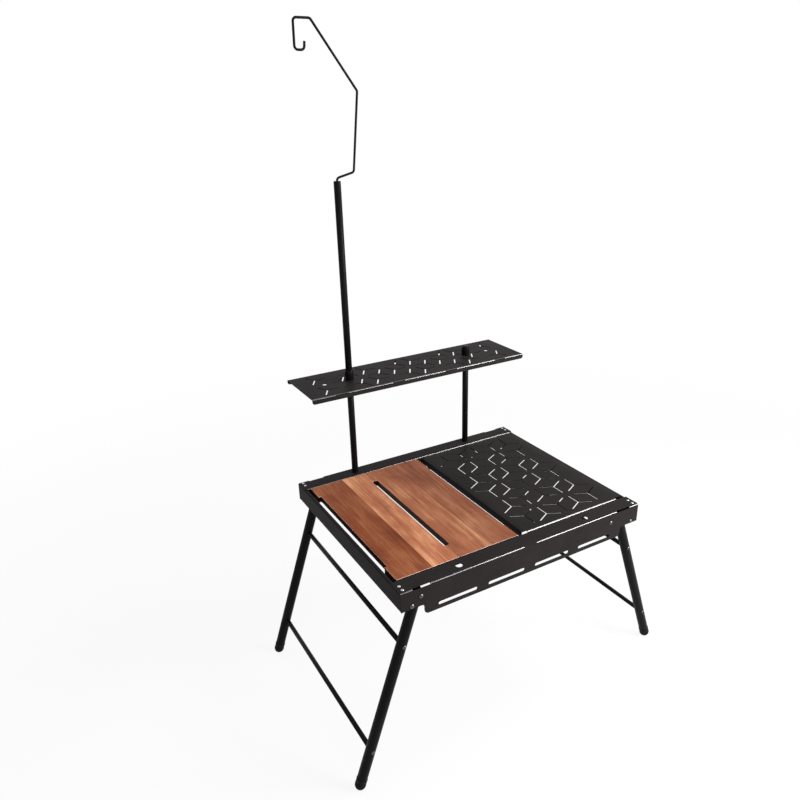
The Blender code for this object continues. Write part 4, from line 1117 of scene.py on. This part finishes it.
def add_floor(settings):
    """A pale floor that keeps the table's shadow and fades to white, seen by the camera or in a gloss."""
    bpy.ops.object.select_all(action="DESELECT")
    bpy.ops.mesh.primitive_plane_add(size=30, location=(0, 0, CAD_BOX[0][2] - 0.1 * MM))
    floor = bpy.context.object
    floor.name = floor.data.name = "pale_floor"
    settle(floor)
    material = bpy.data.materials.new("pale_floor")
    material.use_nodes = True
    tree = material.node_tree
    shader = tree.nodes["Principled BSDF"]
    place = add_node(tree, "ShaderNodeTexCoord").outputs["Object"]
    cloud = mask(tree, noise(tree, place, 3.0, detail=2.0, roughness=0.55), 0.3, 0.7)
    tint = tuple(settings.floor_colour)
    shade = blend_colours(tree, cloud, (*(0.985 * value for value in tint), 1.0), (*tint, 1.0))
    tree.links.new(shade, shader.inputs["Base Color"])
    shader.inputs["Roughness"].default_value = 0.9
    shader.inputs["Specular IOR Level"].default_value = 0.0
    glow = add_node(tree, "ShaderNodeEmission", {"Color": WHITE, "Strength": 1.0})
    away = add_node(tree, "ShaderNodeVectorMath", {0: place}, operation="LENGTH").outputs["Value"]
    share = weighted(tree, (mask(tree, away, 0.7, 2.2), 1.0 - settings.floor_glow), base=settings.floor_glow)
    share = math_node(tree, "MULTIPLY", white_rays(tree), share)
    mixed = add_node(tree, "ShaderNodeMixShader", {0: share, 1: shader.outputs[0], 2: glow.outputs[0]})
    tree.links.new(mixed.outputs[0], tree.nodes["Material Output"].inputs["Surface"])
    floor.data.materials.append(material)


def light_world(settings):
    """A white background, which lights the table more weakly than it looks."""
    world = bpy.data.worlds.new("pale_world")
    bpy.context.scene.world = world
    world.use_nodes = True
    tree = world.node_tree
    ground = tree.nodes["Background"]
    seen = white_rays(tree)
    rest = math_node(tree, "MULTIPLY", math_node(tree, "SUBTRACT", 1.0, seen), settings.world_light)
    ground.inputs["Color"].default_value = WHITE
    tree.links.new(math_node(tree, "ADD", seen, rest), ground.inputs["Strength"])


def add_softbox(name, place, size, power):
    bpy.ops.object.select_all(action="DESELECT")
    bpy.ops.object.light_add(type="AREA", location=place)
    lamp = bpy.context.object
    lamp.name = lamp.data.name = name
    lamp.data.shape = "RECTANGLE"
    lamp.data.size = lamp.data.size_y = size
    lamp.data.energy = power
    lamp.rotation_euler = (Vector(LIGHT_AIM) - Vector(place)).to_track_quat("-Z", "Y").to_euler()


def add_camera(focal_length):
    """The camera that was fitted to the photograph."""
    forward = CAMERA_FORWARD.normalized()
    across = forward.cross(CAMERA_UP.normalized()).normalized()
    up = across.cross(forward)
    bpy.ops.object.camera_add(location=CAMERA_PLACE)
    camera = bpy.context.object
    camera.name = camera.data.name = "photo_camera"
    camera.rotation_euler = Matrix((across, up, -forward)).transposed().to_euler()
    camera.data.sensor_width = 36
    camera.data.lens = focal_length
    camera.data.shift_x, camera.data.shift_y = CAMERA_SHIFT
    camera.data.clip_start, camera.data.clip_end = 0.05, 60
    bpy.context.scene.camera = camera


class TABLE_OT_stage(bpy.types.Operator):
    """A plain pale floor, soft studio light and the camera"""

    bl_idname = "camping_table.stage"
    bl_label = "Stage and camera"

    def execute(self, context):
        settings = context.scene.camping_table_stage
        context.scene.view_settings.view_transform = "Standard"
        add_floor(settings)
        light_world(settings)
        for name, place, size, power in SOFTBOXES:
            add_softbox(name, place, size, getattr(settings, power))
        add_camera(settings.focal_length)
        return {"FINISHED"}


class TABLE_PT_panel(bpy.types.Panel):
    """Lists the table's pieces, sizes and colours"""

    bl_idname = "TABLE_PT_camping_table"
    bl_label = "Camping Table"
    bl_space_type = "VIEW_3D"
    bl_region_type = "UI"
    bl_category = "Camping Table"

    def draw(self, context):
        layout = self.layout
        for operator in OPERATORS:
            layout.operator(operator.bl_idname)
        for label, group in (
            ("Sizes", context.scene.camping_table_sizes),
            ("Colours", context.scene.camping_table_colours),
            ("Stage", context.scene.camping_table_stage),
        ):
            box = layout.box()
            box.label(text=label)
            for name in group.__annotations__:
                box.prop(group, name)


OPERATORS = (
    TABLE_OT_sheet_rails,
    TABLE_OT_slotted_plate,
    TABLE_OT_tower_shelf,
    TABLE_OT_wood_boards,
    TABLE_OT_leg_tubes,
    TABLE_OT_foot_caps,
    TABLE_OT_cross_rods,
    TABLE_OT_rod_screws,
    TABLE_OT_rail_rivets,
    TABLE_OT_corner_rivets,
    TABLE_OT_tower_poles,
    TABLE_OT_shelf_nuts,
    TABLE_OT_lantern_hook,
    TABLE_OT_inner_fittings,
    TABLE_OT_stage,
)
GROUPS = (TableSizes, TableColours, StageSettings)


def register():
    for cls in GROUPS + OPERATORS + (TABLE_PT_panel,):
        bpy.utils.register_class(cls)
    bpy.types.Scene.camping_table_sizes = PointerProperty(type=TableSizes)
    bpy.types.Scene.camping_table_colours = PointerProperty(type=TableColours)
    bpy.types.Scene.camping_table_stage = PointerProperty(type=StageSettings)


def unregister():
    del bpy.types.Scene.camping_table_stage
    del bpy.types.Scene.camping_table_colours
    del bpy.types.Scene.camping_table_sizes
    for cls in reversed(GROUPS + OPERATORS + (TABLE_PT_panel,)):
        bpy.utils.unregister_class(cls)


def main():
    register()
    for operator in OPERATORS:
        group, name = operator.bl_idname.split(".")
        getattr(getattr(bpy.ops, group), name)()


if __name__ == "__main__":
    main()
